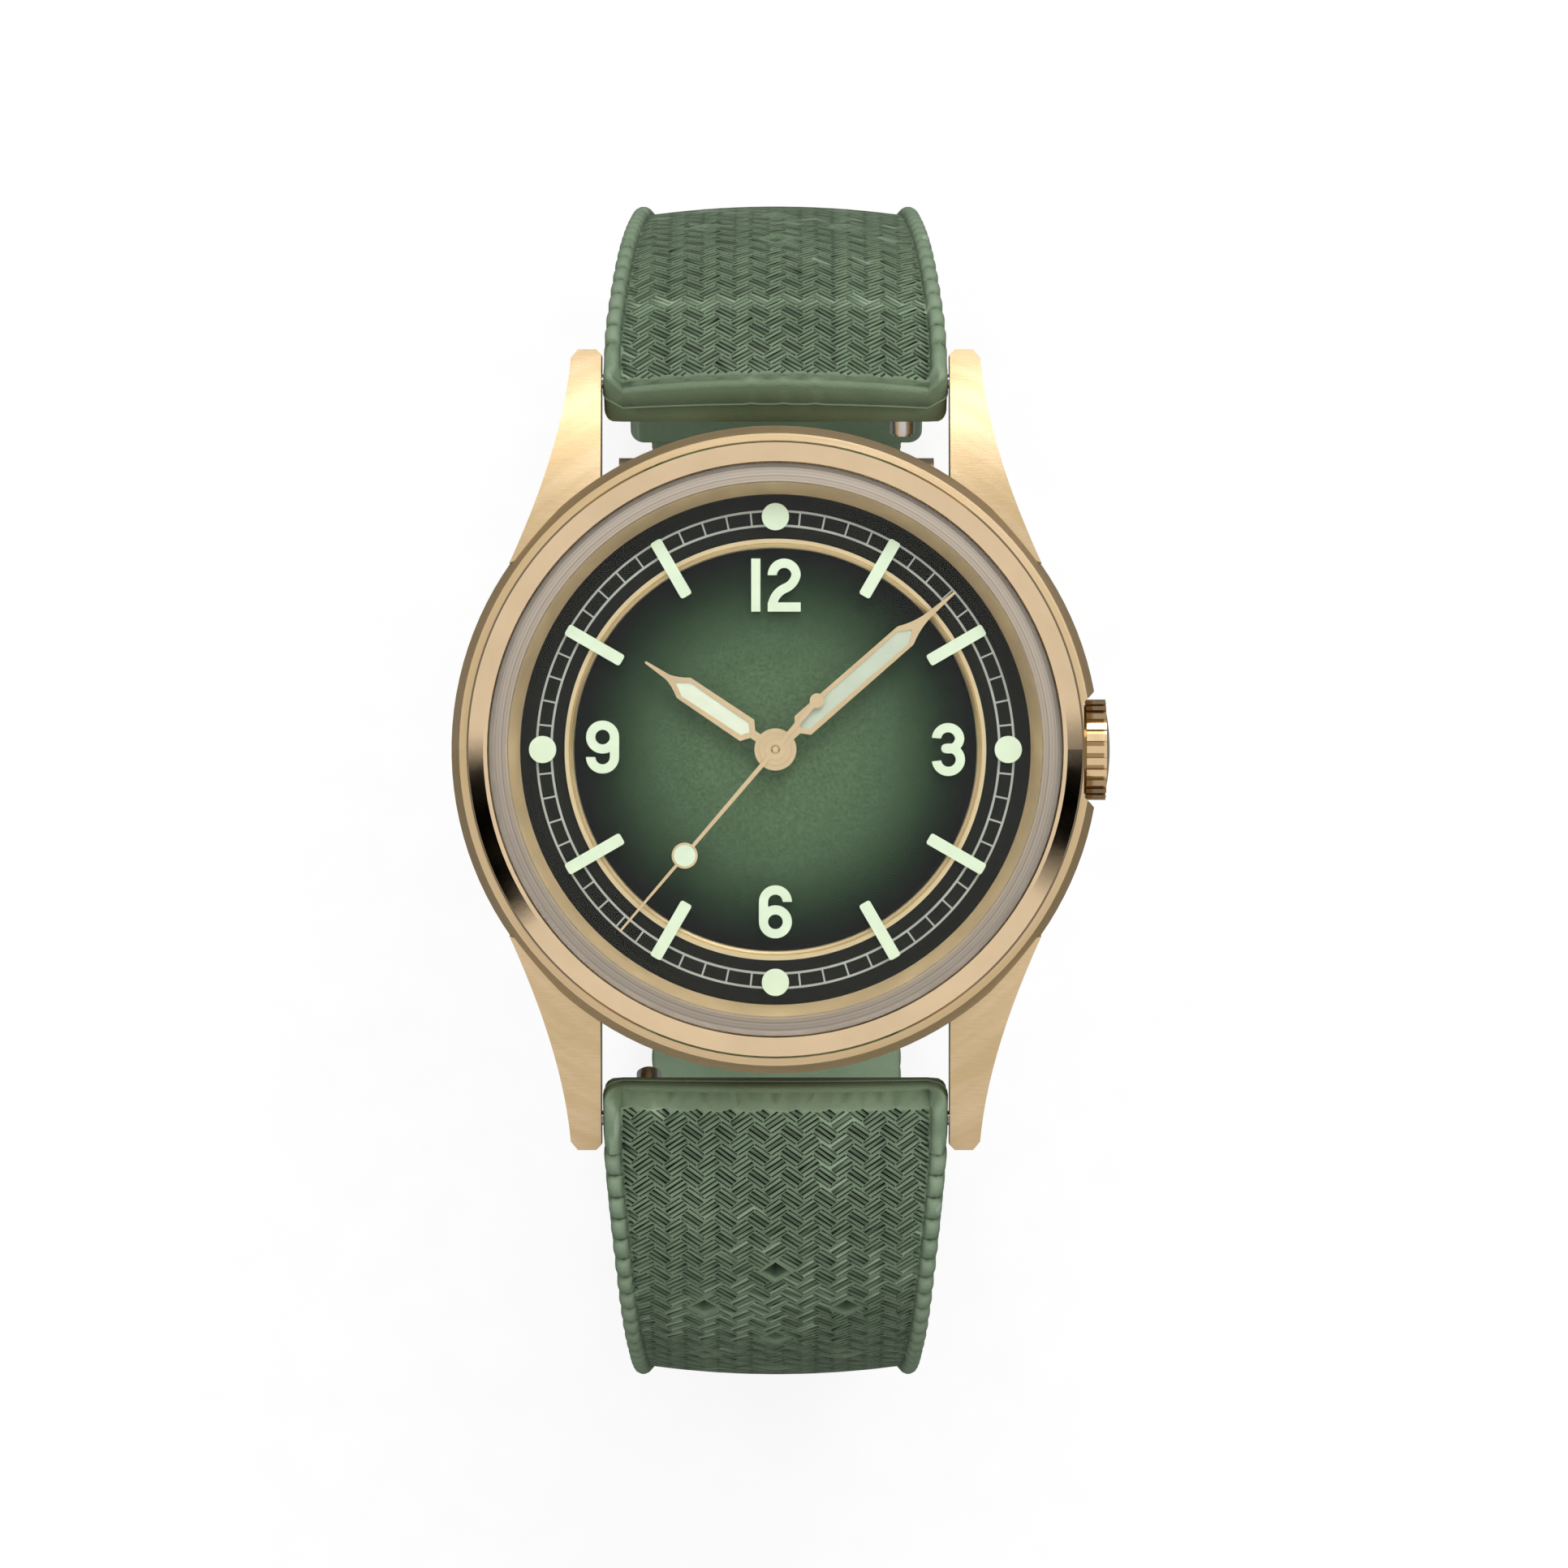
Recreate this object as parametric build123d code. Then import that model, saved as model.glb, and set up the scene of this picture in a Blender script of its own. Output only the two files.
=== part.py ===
from build123d import *
import os
from math import atan2, cos, degrees, pi, radians, sin, sqrt

os.makedirs("parts", exist_ok=True)

# A three-hand automatic dive watch on a rubber strap. Millimetres.
# Origin: centre of the case back's flat outer face. +Z: towards the dial. +Y: 12 o'clock. +X: the crown.

# Case
CASE_R = 18.5
CASE_BOTTOM = 0.7
CASE_TOP = 7.4
SHOULDER_R = 18.05
LUG_GAP = 20.0
LUG_TIP_Y = 23.0
SPRING_BAR_Y = 21.2
SPRING_BAR_Z = 2.6
BEZEL_R = 17.6
BEZEL_BORE_R = 16.32
BEZEL_TOP = 9.05
CRYSTAL_R = 16.0
CRYSTAL_BOTTOM = 8.2
CRYSTAL_TOP = 10.8
BACK_R = 16.0
BACK_THREAD_R = 14.55
MOVEMENT_SPACE_R = 13.7

# Dial
DIAL_BOTTOM = 5.55
DIAL_TOP = 5.85
DIAL_R = 14.7
GOLD_RING_IN_R = 11.48
CHAPTER_RING_IN_R = 12.03
CHAPTER_TOP = 6.2
REHAUT_IN_R = 14.57
TRACK_IN_R = 12.78
TRACK_OUT_R = 13.61
TRACK_LINE = 0.13
MARKER_TOP = 6.6
NUMERAL_TOP = 6.4
NUMERAL_H = 3.02
NUMERAL_STROKE = 0.52

# Hands: the clock angle of each, clockwise from 12 o'clock, and the underside of each
HOUR_ANGLE, HOUR_Z = 303.9, 6.75
MINUTE_ANGLE, MINUTE_Z = 48.8, 7.15
SECONDS_ANGLE, SECONDS_Z = 220.5, 7.5
HAND_T = 0.2
LUME_T = 0.06

# Crown and stem
STEM_Z = 3.6
STEM_R = 0.45
CROWN_R = 2.885
CROWN_IN_X = 17.8
CROWN_OUT_X = 18.95
CROWN_END_X = 19.2
CROWN_DOME_R = 2.45
CROWN_FLUTES = 26
RECESS_X = 17.6

# Movement levels, from the back towards the dial
MOVEMENT_R = 12.9
ROTOR_R = 12.4
ROTOR_Z = 0.95
WHEELS_TOP_Z = 1.98
BARREL_BRIDGE_Z = 2.35
TRAIN_BRIDGE_Z = 2.2
FOURTH_Z = 2.55
THIRD_Z = 2.72
CENTRE_Z = 3.0
BARREL_Z = 3.2
ESCAPE_Z = 3.5
PLATE_Z = 3.75
PLATE_TOP = 5.0
MOTION_Z = 5.07

# Going train and motion work: teeth and modules
BARREL_TEETH, CENTRE_PINION_TEETH, BARREL_MODULE = 78, 12, 0.13
CENTRE_TEETH, THIRD_PINION_TEETH, CENTRE_MODULE = 80, 10, 0.1
THIRD_TEETH, FOURTH_PINION_TEETH = 75, 10
FOURTH_TEETH, ESCAPE_PINION_TEETH, FOURTH_MODULE = 84, 7, 0.09
ESCAPE_TEETH = 20
CANNON_TEETH, MINUTE_TEETH, CANNON_MODULE = 12, 36, 0.1
MINUTE_PINION_TEETH, HOUR_TEETH, HOUR_MODULE = 12, 48, 0.08
CROWN_WHEEL_TEETH, RATCHET_TEETH, WINDING_PINION_TEETH = 28, 41, 15
PIVOT_R = 0.12
FIT = 0.03

# Where the arbors stand, as (distance from the centre, direction in degrees)
BARREL_AT = (BARREL_MODULE * (BARREL_TEETH + CENTRE_PINION_TEETH) / 2, 60)
THIRD_AT = (CENTRE_MODULE * (CENTRE_TEETH + THIRD_PINION_TEETH) / 2, 180)
ESCAPE_AT = (FOURTH_MODULE * (FOURTH_TEETH + ESCAPE_PINION_TEETH) / 2, 240)
MINUTE_WHEEL_AT = (CANNON_MODULE * (CANNON_TEETH + MINUTE_TEETH) / 2, 300)
BALANCE_AT = (8.4, 225)
CROWN_WHEEL_X = 6.2
ESCAPE_R = 2.2
PALLET_DISTANCE = ESCAPE_R / cos(radians(30))
BALANCE_R = 4.0

# Strap: widths, thicknesses and the shape of each arm's outer face, seen from the side
STRAP_LUG_W = 19.7
STRAP_TAIL_W = 16.0
STRAP_END_BACK = 2.2
STRAP_UNDER_BAR = 1.2
STRAP_END_T = 4.3
STRAP_TAIL_T = 2.4
STRAP_TAPER_LENGTH = 34.0
STRAP_WIDTHS = ((0, STRAP_LUG_W), (4, 19.6), (12, 18.3), (20, 17.2), (STRAP_TAPER_LENGTH, STRAP_TAIL_W))
HOLE_W, HOLE_L = 1.5, 1.2
HOLE_PAIR_X = 4.1
# Angles are below horizontal. An arm leaves the lugs at tilt, runs straight for lead, and bends to bend_to.
# Then it follows the side arc, a straight drop, the arc under the wrist and the straight tail.
SHORT_ARM = dict(
    tilt=36, lead=3.1, bend_r=18, bend_to=70, side_r=42, drop=10, under_r=47.8, under_to=135, tail=0,
    holes=(13.2, 62.0, 3.0),
)
LONG_ARM = dict(
    tilt=12, lead=5.5, bend_r=14, bend_to=67, side_r=24.5, drop=27.69, under_r=22, under_to=180, tail=19,
    holes=(11.0, 103.0, 3.0),
)
BUCKLE_W = 20.4
BUCKLE_INSIDE_W = 16.6
BUCKLE_L = 10.0
BUCKLE_EAR_R = 1.4
KEEPER_W = 5.0
KEEPER_WALL = 1.1
FIXED_KEEPER_ANGLE = 124.5
FREE_KEEPER_ANGLE = 112

# Spring bars and their quick-release knobs
BAR_TUBE_R = 0.85
KNOB_X = 7.3
KNOB_R = 0.72
KNOB_REACH = 3.0
KNOB_TRAVEL = 1.3


def polar(distance, degrees_ccw):
    return distance * cos(radians(degrees_ccw)), distance * sin(radians(degrees_ccw))


def clock(distance, clockwise):
    return polar(distance, 90 - clockwise)


def disc(r, z0, z1, at=(0, 0)):
    return Pos(at[0], at[1], z0) * Cylinder(r, z1 - z0, align=(Align.CENTER, Align.CENTER, Align.MIN))


def ring(r_in, r_out, z0, z1, at=(0, 0)):
    return disc(r_out, z0, z1, at) - disc(r_in, z0 - 1, z1 + 1, at)


def block(x0, x1, y0, y1, z0, z1):
    size = (abs(x1 - x0), abs(y1 - y0), abs(z1 - z0))
    return Pos((x0 + x1) / 2, (y0 + y1) / 2, (z0 + z1) / 2) * Box(*size)


def rod_x(r, x0, x1, y=0, z=STEM_Z):
    return Pos((x0 + x1) / 2, y, z) * Rot(0, 90, 0) * Cylinder(r, abs(x1 - x0))


def turned(*points):
    """A solid of revolution about Z from an outline of (radius, height) corners."""
    return revolve(Plane.XZ * make_face(Polyline(*points, close=True)), Axis.Z)


def slab(points, z0, z1):
    """A plate with straight edges, from z0 to z1."""
    return extrude(Plane.XY.offset(z0) * make_face(Polyline(*points, close=True)), z1 - z0)


def sector(r, start, end, z0, z1):
    """A slice of a disc between two directions."""
    wide = 2 * r
    steps = 4
    fan = [polar(wide, start + (end - start) * k / steps) for k in range(steps + 1)]
    return disc(r, z0, z1) & slab([(0, 0)] + fan, z0, z1)


def gear(teeth, module, z0, z1, at=(0, 0), phase=0.0, bore=0.0, slim=0.88):
    """A spur wheel. A tooth stands in the direction phase, and slim leaves backlash."""
    pitch_r = teeth * module / 2
    tip_r = pitch_r + 0.85 * module
    root_r = pitch_r - 1.15 * module
    step = 360 / teeth
    outline = []
    for k in range(teeth):
        middle = phase + k * step
        for r, share in ((root_r, -0.36), (tip_r, -0.12), (tip_r, 0.12), (root_r, 0.36)):
            outline.append(polar(r, middle + share * slim * step))
    wheel = slab(outline, z0, z1)
    wheel = Pos(at[0], at[1], 0) * wheel
    return wheel - disc(bore, z0 - 1, z1 + 1, at) if bore else wheel


def gap_phase(teeth, direction):
    """The phase at which a wheel meets, with a gap, a tooth that points at it along direction."""
    return direction + 180 + 180 / teeth


def spokes(wheel_r, hub_r, z0, z1, at, phase=0):
    """The open spaces between a wheel's four spokes."""
    spaces = []
    for k in range(4):
        middle = phase + 45 + 90 * k
        space = sector(wheel_r, middle - 36, middle + 36, z0, z1) - disc(hub_r, z0, z1)
        spaces.append(Pos(at[0], at[1], 0) * space)
    return spaces


def spiral(r0, r1, turns, thickness, z0, z1, at):
    """A flat coil spring."""
    steps = int(turns * 20)
    sides = []
    for offset in (-thickness / 2, thickness / 2):
        line = []
        for k in range(steps + 1):
            share = k / steps
            line.append(polar(r0 + (r1 - r0) * share + offset, 360 * turns * share))
        sides.append(line)
    outline = sides[0] + sides[1][::-1]
    return Pos(at[0], at[1], 0) * slab(outline, z0, z1)


# ---------------------------------------------------------------- case
def lug_outline():
    """One lug seen from the dial side: a straight inner face and a hollow outer edge."""
    outer = Spline((15.2, 10.64), (13.8, 13.97), (12.7, 17.3), (12.02, 20.3), (11.75, 22.5))
    corner = Line((11.75, 22.5), (11.35, LUG_TIP_Y))
    tip = Line((11.35, LUG_TIP_Y), (LUG_GAP / 2 + 0.3, LUG_TIP_Y))
    inner_corner = Line((LUG_GAP / 2 + 0.3, LUG_TIP_Y), (LUG_GAP / 2, 22.7))
    inner = Line((LUG_GAP / 2, 22.7), (LUG_GAP / 2, 13.0))
    root = Line((LUG_GAP / 2, 13.0), (15.2, 10.64))
    return make_face(Curve() + [outer, corner, tip, inner_corner, inner, root])


def lug_side():
    """The lug's height along its length, seen from the side."""
    top = ThreePointArc((9.0, 6.84), (17.4, 6.2), (LUG_TIP_Y, 3.9))
    tip = ThreePointArc((LUG_TIP_Y, 3.9), (23.35, 2.2), (LUG_TIP_Y - 0.3, 0.75))
    under = ThreePointArc((LUG_TIP_Y - 0.3, 0.75), (17.0, 1.0), (9.0, 1.3))
    back = Line((9.0, 1.3), (9.0, 6.84))
    return make_face(Curve() + [top, tip, under, back])


def lug():
    plan = extrude(lug_outline(), 8)
    side = extrude(Plane.YZ * lug_side(), 20)
    return plan & side


def crown_recess():
    """The notch in the case flank that the crown sits in, with rounded corners."""
    half = [(RECESS_X, 2.7), (18.0, 3.08), (18.7, 3.9), (21.0, 3.9)]
    outline = [(x, -y) for x, y in half[::-1]] + half
    notch = slab(outline, CASE_BOTTOM - 1, CASE_TOP + 1)
    corners = notch.edges().filter_by(Axis.Z).filter_by_position(Axis.X, RECESS_X - 0.1, 18.1)
    return fillet(corners, 0.3)


def mid_case():
    body = turned(
        (BACK_THREAD_R + 0.05, CASE_BOTTOM), (16.4, CASE_BOTTOM), (17.9, 1.5), (CASE_R, 2.6),
        (CASE_R, 6.85),
        (SHOULDER_R, 7.32), (BEZEL_R, CASE_TOP), (BEZEL_BORE_R, CASE_TOP), (BEZEL_BORE_R, 7.05),
        (15.93, 7.05), (15.93, CHAPTER_TOP), (DIAL_R + 0.04, CHAPTER_TOP), (DIAL_R + 0.04, DIAL_BOTTOM),
        (MOVEMENT_SPACE_R, DIAL_BOTTOM), (MOVEMENT_SPACE_R, 1.9), (BACK_THREAD_R + 0.05, 1.9),
    )
    one = lug() - disc(15.5, 0, 9)
    pair = one + one.mirror(Plane.YZ)
    body += pair + pair.mirror(Plane.XZ)
    body -= crown_recess()
    body -= rod_x(2.8, 16.35, 18)
    body -= rod_x(1.33, 12, 17)
    body -= ring(14.9, 15.6, CASE_BOTTOM - 0.1, 1.1)
    for end in (-1, 1):
        for side in (-1, 1):
            body -= rod_x(0.45, side * 9, side * 11.2, SPRING_BAR_Y * end, SPRING_BAR_Z)
    return body


def bezel():
    return turned(
        (BEZEL_BORE_R, CASE_TOP), (BEZEL_R, CASE_TOP), (BEZEL_R, 8.3), (BEZEL_R - 0.12, 8.5),
        (16.62, BEZEL_TOP), (BEZEL_BORE_R + 0.08, BEZEL_TOP), (BEZEL_BORE_R, BEZEL_TOP - 0.1),
    )


def dome_height(r, edge_r, edge, top):
    """The height at r of a round cap that is edge high at edge_r and top high in its middle."""
    ball_r = (edge_r**2 + (top - edge) ** 2) / (2 * (top - edge))
    return top - ball_r + sqrt(ball_r**2 - r**2)


def crystal():
    """A box crystal: an upright edge, a wide chamfer and a slightly domed top."""
    profile = Curve() + [
        Line((0, CRYSTAL_BOTTOM), (CRYSTAL_R, CRYSTAL_BOTTOM)),
        Line((CRYSTAL_R, CRYSTAL_BOTTOM), (CRYSTAL_R, 10.05)),
        Line((CRYSTAL_R, 10.05), (15.2, 10.6)),
        ThreePointArc((15.2, 10.6), (7.6, dome_height(7.6, 15.2, 10.6, CRYSTAL_TOP)), (0, CRYSTAL_TOP)),
        Line((0, CRYSTAL_TOP), (0, CRYSTAL_BOTTOM)),
    ]
    return revolve(Plane.XZ * make_face(profile), Axis.Z)


def rehaut_ring():
    """The sloping inner wall between the dial and the crystal."""
    return turned(
        (REHAUT_IN_R, CHAPTER_TOP), (15.9, CHAPTER_TOP), (15.9, CRYSTAL_BOTTOM), (15.2, CRYSTAL_BOTTOM),
    )


def case_back():
    plate = turned(
        (0, 0), (BACK_R - 0.5, 0), (BACK_R, 0.3), (BACK_R, CASE_BOTTOM), (BACK_THREAD_R, CASE_BOTTOM),
        (BACK_THREAD_R, 1.85), (MOVEMENT_SPACE_R + 0.05, 1.85), (MOVEMENT_SPACE_R + 0.05, CASE_BOTTOM),
        (0, CASE_BOTTOM),
    )
    notches = [Rot(0, 0, 60 * k) * block(14.4, 17, -1.1, 1.1, -0.1, 0.35) for k in range(6)]
    return plate - notches


def movement_holder():
    holder = ring(MOVEMENT_R + 0.05, MOVEMENT_SPACE_R - 0.05, 2.0, DIAL_BOTTOM)
    return holder - rod_x(0.8, 12, 15)


# ---------------------------------------------------------------- dial
def gold_ring():
    """The bright step between the green centre and the black hour ring."""
    return turned(
        (GOLD_RING_IN_R, DIAL_TOP), (CHAPTER_RING_IN_R, DIAL_TOP), (CHAPTER_RING_IN_R, CHAPTER_TOP),
        (11.8, CHAPTER_TOP), (11.74, CHAPTER_TOP - 0.05), (11.68, CHAPTER_TOP),
        (GOLD_RING_IN_R + 0.06, 6.1), (GOLD_RING_IN_R, 6.02),
    )


def minute_track():
    """The printed railway track: two circles joined by sixty lines."""
    z0, z1 = CHAPTER_TOP, CHAPTER_TOP + 0.02
    half = TRACK_LINE / 2
    track = ring(TRACK_IN_R - half, TRACK_IN_R + half, z0, z1)
    track += ring(TRACK_OUT_R - half, TRACK_OUT_R + half, z0, z1)
    tick = block(-0.05, 0.05, TRACK_IN_R, TRACK_OUT_R, z0, z1)
    return track + [Rot(0, 0, 6 * k) * tick for k in range(60)]


def hour_markers():
    """Raised lume blocks: a dot at each quarter and a bar at every other hour."""
    z0 = CHAPTER_TOP + 0.02
    markers = [disc(0.775, z0, MARKER_TOP, polar(13.28, 90 * k)) for k in range(4)]
    for hour in (1, 2, 4, 5, 7, 8, 10, 11):
        bar = Pos(0, (10.1 + 13.72) / 2) * RectangleRounded(0.69, 13.72 - 10.1, 0.15)
        bar = extrude(Plane.XY.offset(z0) * bar, MARKER_TOP - z0)
        markers.append(Rot(0, 0, -30 * hour) * bar)
    return Compound(children=markers)


def pen(line, height):
    """A raised stroke of the numerals' width along a line or an arc."""
    half = NUMERAL_STROKE / 2
    sides = []
    for hand in (-1, 1):
        shares = [k / 8 for k in range(9)]
        normals = [(line % t).cross(Vector(0, 0, hand)) for t in shares]
        sides.append([(line @ t) + n * half for t, n in zip(shares, normals)])
    straight = line.geom_type == GeomType.LINE
    left, right = [Line(side[0], side[-1]) if straight else Spline(*side) for side in sides]
    face = make_face(Curve() + [left, right, Line(left @ 0, right @ 0), Line(left @ 1, right @ 1)])
    return extrude(face, height, dir=(0, 0, 1))


def digit_lines(digit):
    """The centre lines of a plain digit, NUMERAL_H tall, centred on the origin."""
    edge = NUMERAL_H / 2
    top = edge - NUMERAL_STROKE / 2
    r = 0.68
    if digit == "1":
        return [Line((0, -edge), (0, edge))]
    if digit == "2":
        return [
            ThreePointArc((-r, top - r), (0, top), (r, top - r)),
            ThreePointArc((r, top - r), (0.54, 0.22), (0.12, -0.15)),
            ThreePointArc((0.12, -0.15), (-0.48, -0.62), (-r, -top)),
            Line((-r - 0.26, -top), (r + 0.26, -top)),
        ]
    if digit == "3":
        return [
            ThreePointArc((-r, top - 0.6), (0, top), (r - 0.04, top - 0.62)),
            ThreePointArc((r - 0.04, top - 0.62), (0.46, 0.22), (-0.15, 0.06)),
            ThreePointArc((-0.15, 0.06), (0.5, -0.12), (r, -0.6)),
            ThreePointArc((r, -0.6), (0, -top), (-r, -top + 0.6)),
        ]
    return [Line((-r, -top + r), (-r, top - r)), ThreePointArc((-r, top - r), (0, top), (r, top - r))]


def digit_solid(digit, x, y):
    """A digit as a raised block. Round joints close the corners between its strokes."""
    height = NUMERAL_TOP - DIAL_TOP
    lines = digit_lines(digit)
    shape = pen(lines[0], height)
    for line in lines[1:]:
        start = line @ 0
        joined = digit != "2" or line is not lines[-1]
        shape += pen(line, height)
        if joined:
            shape += disc(NUMERAL_STROKE / 2, 0, height, (start.X, start.Y))
    if digit in "69":
        bowl_r = 0.68
        centre = (0, -NUMERAL_H / 2 + NUMERAL_STROKE / 2 + bowl_r)
        shape += ring(bowl_r - NUMERAL_STROKE / 2, bowl_r + NUMERAL_STROKE / 2, 0, height, centre)
        shape -= disc(bowl_r - NUMERAL_STROKE / 2, -1, 2, centre)
    turn = 180 if digit == "9" else 0
    return Pos(x, y, DIAL_TOP) * Rot(0, 0, turn) * shape


def hour_numerals():
    digits = [("1", -1.12, 9.38), ("2", 0.5, 9.38), ("3", 9.87, 0), ("6", 0, -9.26), ("9", -9.86, 0.14)]
    return Compound(children=[digit_solid(*d) for d in digits])


# ---------------------------------------------------------------- hands
def place_hand(shape, angle):
    """Turns a hand modelled along +Y to its clock angle."""
    return Rot(0, 0, -angle) * shape


def sword_outline(shoulder_at, shoulder, far_at, far, waist_at, waist, tip_at, tip):
    """A sword hand: a wide blade that narrows in a hollow curve to a long point."""
    half = [(shoulder_at - 0.4, 0.25), (shoulder_at, shoulder), (far_at, far)]
    right = [(x, y) for y, x in half]
    curve = Spline((far, far_at), (waist + 0.1, (far_at + waist_at) / 2 + 0.25), (waist, waist_at))
    outline = [
        Line((0, 0), (0.25, 0)), Line((0.25, 0), right[0]),
        Line(right[0], right[1]), Line(right[1], right[2]),
        curve, Line((waist, waist_at), (tip, tip_at)), Line((tip, tip_at), (0, tip_at + 0.06)),
        Line((0, tip_at + 0.06), (0, 0)),
    ]
    face = make_face(Curve() + outline)
    return face + face.mirror(Plane.YZ)


def window_outline(near_at, near_side_at, near, far_side_at, far, far_at):
    """The lume window of a sword hand, pointed at both ends."""
    right = [(0, near_at), (near, near_side_at), (far, far_side_at), (0, far_at)]
    left = [(-x, y) for x, y in right[1:-1]]
    return make_face(Polyline(*right, *left[::-1], close=True))


def sword_hand(outline, window, hub_r, bore_r, z, angle):
    frame = extrude(Plane.XY.offset(z) * (outline + Circle(hub_r) - window), HAND_T)
    return place_hand(frame - disc(bore_r, z - 1, z + 1), angle)


def hand_lume(window, z, angle):
    """The luminous fill, a little thinner than the frame that holds it."""
    return place_hand(extrude(Plane.XY.offset(z) * window, HAND_T - LUME_T), angle)


def seconds_hand():
    z = SECONDS_Z
    needle = make_face(Polyline(
        (-0.15, -3.3), (0.15, -3.3), (0.1, 7.25), (0.06, 13.6), (-0.06, 13.6), (-0.1, 7.25), close=True,
    ))
    face = needle + Circle(0.59) + Pos(0, -3.65) * Circle(0.42) + Pos(0, 7.95) * Circle(0.74)
    face -= Pos(0, 7.95) * Circle(0.62)
    hand = extrude(Plane.XY.offset(z) * face, 0.14)
    cap = turned((0, z + 0.1), (0.27, z + 0.1), (0.27, z + 0.24), (0.16, z + 0.33), (0, z + 0.36))
    return place_hand(hand - disc(0.18, z - 1, z + 0.1) + cap, SECONDS_ANGLE)


# ---------------------------------------------------------------- crown
def crown():
    """A fluted crown whose skirt slides over the case tube."""
    rise = CROWN_END_X - CROWN_OUT_X
    dome = Curve() + [
        Line((0, -0.2), (CROWN_DOME_R, -0.2)),
        Line((CROWN_DOME_R, -0.2), (CROWN_DOME_R, 0)),
        ThreePointArc((CROWN_DOME_R, 0), (1.2, dome_height(1.2, CROWN_DOME_R, 0, rise)), (0, rise)),
        Line((0, rise), (0, -0.2)),
    ]
    dome = revolve(Plane.XZ * make_face(dome), Axis.Z)
    head = rod_x(CROWN_R - 0.16, CROWN_IN_X, CROWN_OUT_X)
    head += Pos(CROWN_OUT_X, 0, STEM_Z) * Rot(0, 90, 0) * dome
    flute = block(CROWN_IN_X, CROWN_OUT_X, -0.2, 0.2, STEM_Z + CROWN_R - 0.3, STEM_Z + CROWN_R)
    axis = Axis((0, 0, STEM_Z), (1, 0, 0))
    head += [flute.rotate(axis, 360 / CROWN_FLUTES * k) for k in range(CROWN_FLUTES)]
    head += rod_x(2.55, 16.5, CROWN_IN_X)
    head -= rod_x(1.5, 16, 18.2)
    return head - rod_x(STEM_R, 18, 18.7)


def crown_stem():
    """The stem, with the groove that the setting lever sits in."""
    groove = rod_x(2, 10.95, 11.35) - rod_x(0.3, 10, 12)
    return rod_x(STEM_R, 9.2, 18.7) + rod_x(0.33, 6.9, 9.2) - groove


def setting_lever():
    """The lever whose fork follows the stem's groove as the crown is pulled."""
    arm = block(10.9, 11.6, 0.75, 2.6, 2.95, 3.3)
    return arm + block(11.0, 11.3, 0.34, 1.2, 3.25, 3.7)


def winding_pinion():
    """The pinion on the stem that drives the crown wheel's face teeth."""
    pitch = 2.2 * WINDING_PINION_TEETH / CROWN_WHEEL_TEETH
    module = 2 * pitch / WINDING_PINION_TEETH
    wheel = gear(WINDING_PINION_TEETH, module, 0, 0.6, phase=0, bore=STEM_R + FIT, slim=0.8)
    return Pos(8.1, 0, STEM_Z) * Rot(0, 90, 0) * wheel


# ---------------------------------------------------------------- movement
def main_plate():
    plate = turned(
        (0.45, PLATE_Z), (MOVEMENT_R, PLATE_Z), (MOVEMENT_R, DIAL_BOTTOM), (MOVEMENT_R - 0.9, DIAL_BOTTOM),
        (MOVEMENT_R - 0.9, PLATE_TOP), (0.45, PLATE_TOP),
    )
    plate -= disc(5.35, PLATE_Z - 1, 4.78, polar(*BARREL_AT))
    plate -= disc(0.35, 4, 6, polar(*BARREL_AT))
    plate -= block(7.9, 8.9, -1.5, 1.5, 3, 5.1)
    plate -= block(6.8, 14, -0.6, 0.6, 3, 4.2)
    plate -= block(10.8, 12.6, -0.8, 2.8, 3, 4.2)
    for spot in (THIRD_AT, ESCAPE_AT, BALANCE_AT):
        plate -= disc(0.46, PLATE_Z - 0.1, 4.0, polar(*spot))
        plate -= disc(PIVOT_R + FIT, PLATE_Z, 4.4, polar(*spot))
    plate -= disc(PIVOT_R + FIT, PLATE_Z - 0.1, 4.4, pallet_at())
    return plate + disc(0.2, PLATE_TOP, 5.5, polar(*MINUTE_WHEEL_AT))


def pallet_at():
    """The pallet's axis, on the line from the escape wheel to the balance."""
    ex, ey = polar(*ESCAPE_AT)
    bx, by = polar(*BALANCE_AT)
    span = sqrt((bx - ex) ** 2 + (by - ey) ** 2)
    share = PALLET_DISTANCE / span
    return ex + (bx - ex) * share, ey + (by - ey) * share


def pallet_direction():
    """The direction from the escape wheel to the balance, in degrees."""
    ex, ey = polar(*ESCAPE_AT)
    bx, by = polar(*BALANCE_AT)
    return degrees(atan2(by - ey, bx - ex))


BARREL_PILLARS = ((11.4, -25), (11.4, 22), (11.4, 115))
TRAIN_PILLARS = ((11.0, 140), (11.0, 195))
COCK_FOOT = (10.8, 255)
SCREW_SPOTS = [(p, BARREL_BRIDGE_Z) for p in BARREL_PILLARS] + [
    (p, TRAIN_BRIDGE_Z) for p in TRAIN_PILLARS + (COCK_FOOT,)
]


def barrel_bridge():
    z0, z1 = BARREL_BRIDGE_Z, 2.85
    bridge = sector(12.6, -38, 126, z0, z1) - disc(4.15, 0, 5)
    bridge += [disc(1.0, z0, PLATE_Z, polar(*p)) for p in BARREL_PILLARS]
    bridge -= disc(0.53, 0, 5, polar(*BARREL_AT))
    bridge -= block(7.9, 8.9, -1.5, 1.5, 0, 3)
    bridge -= ring(1.8, 2.75, 0, z0 + 0.15, (CROWN_WHEEL_X, 0))
    bridge += disc(0.6, 2.0, z1, (CROWN_WHEEL_X, 0))
    return bridge - [disc(0.35, 0, 3.2, polar(*p)) for p in BARREL_PILLARS]


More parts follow.
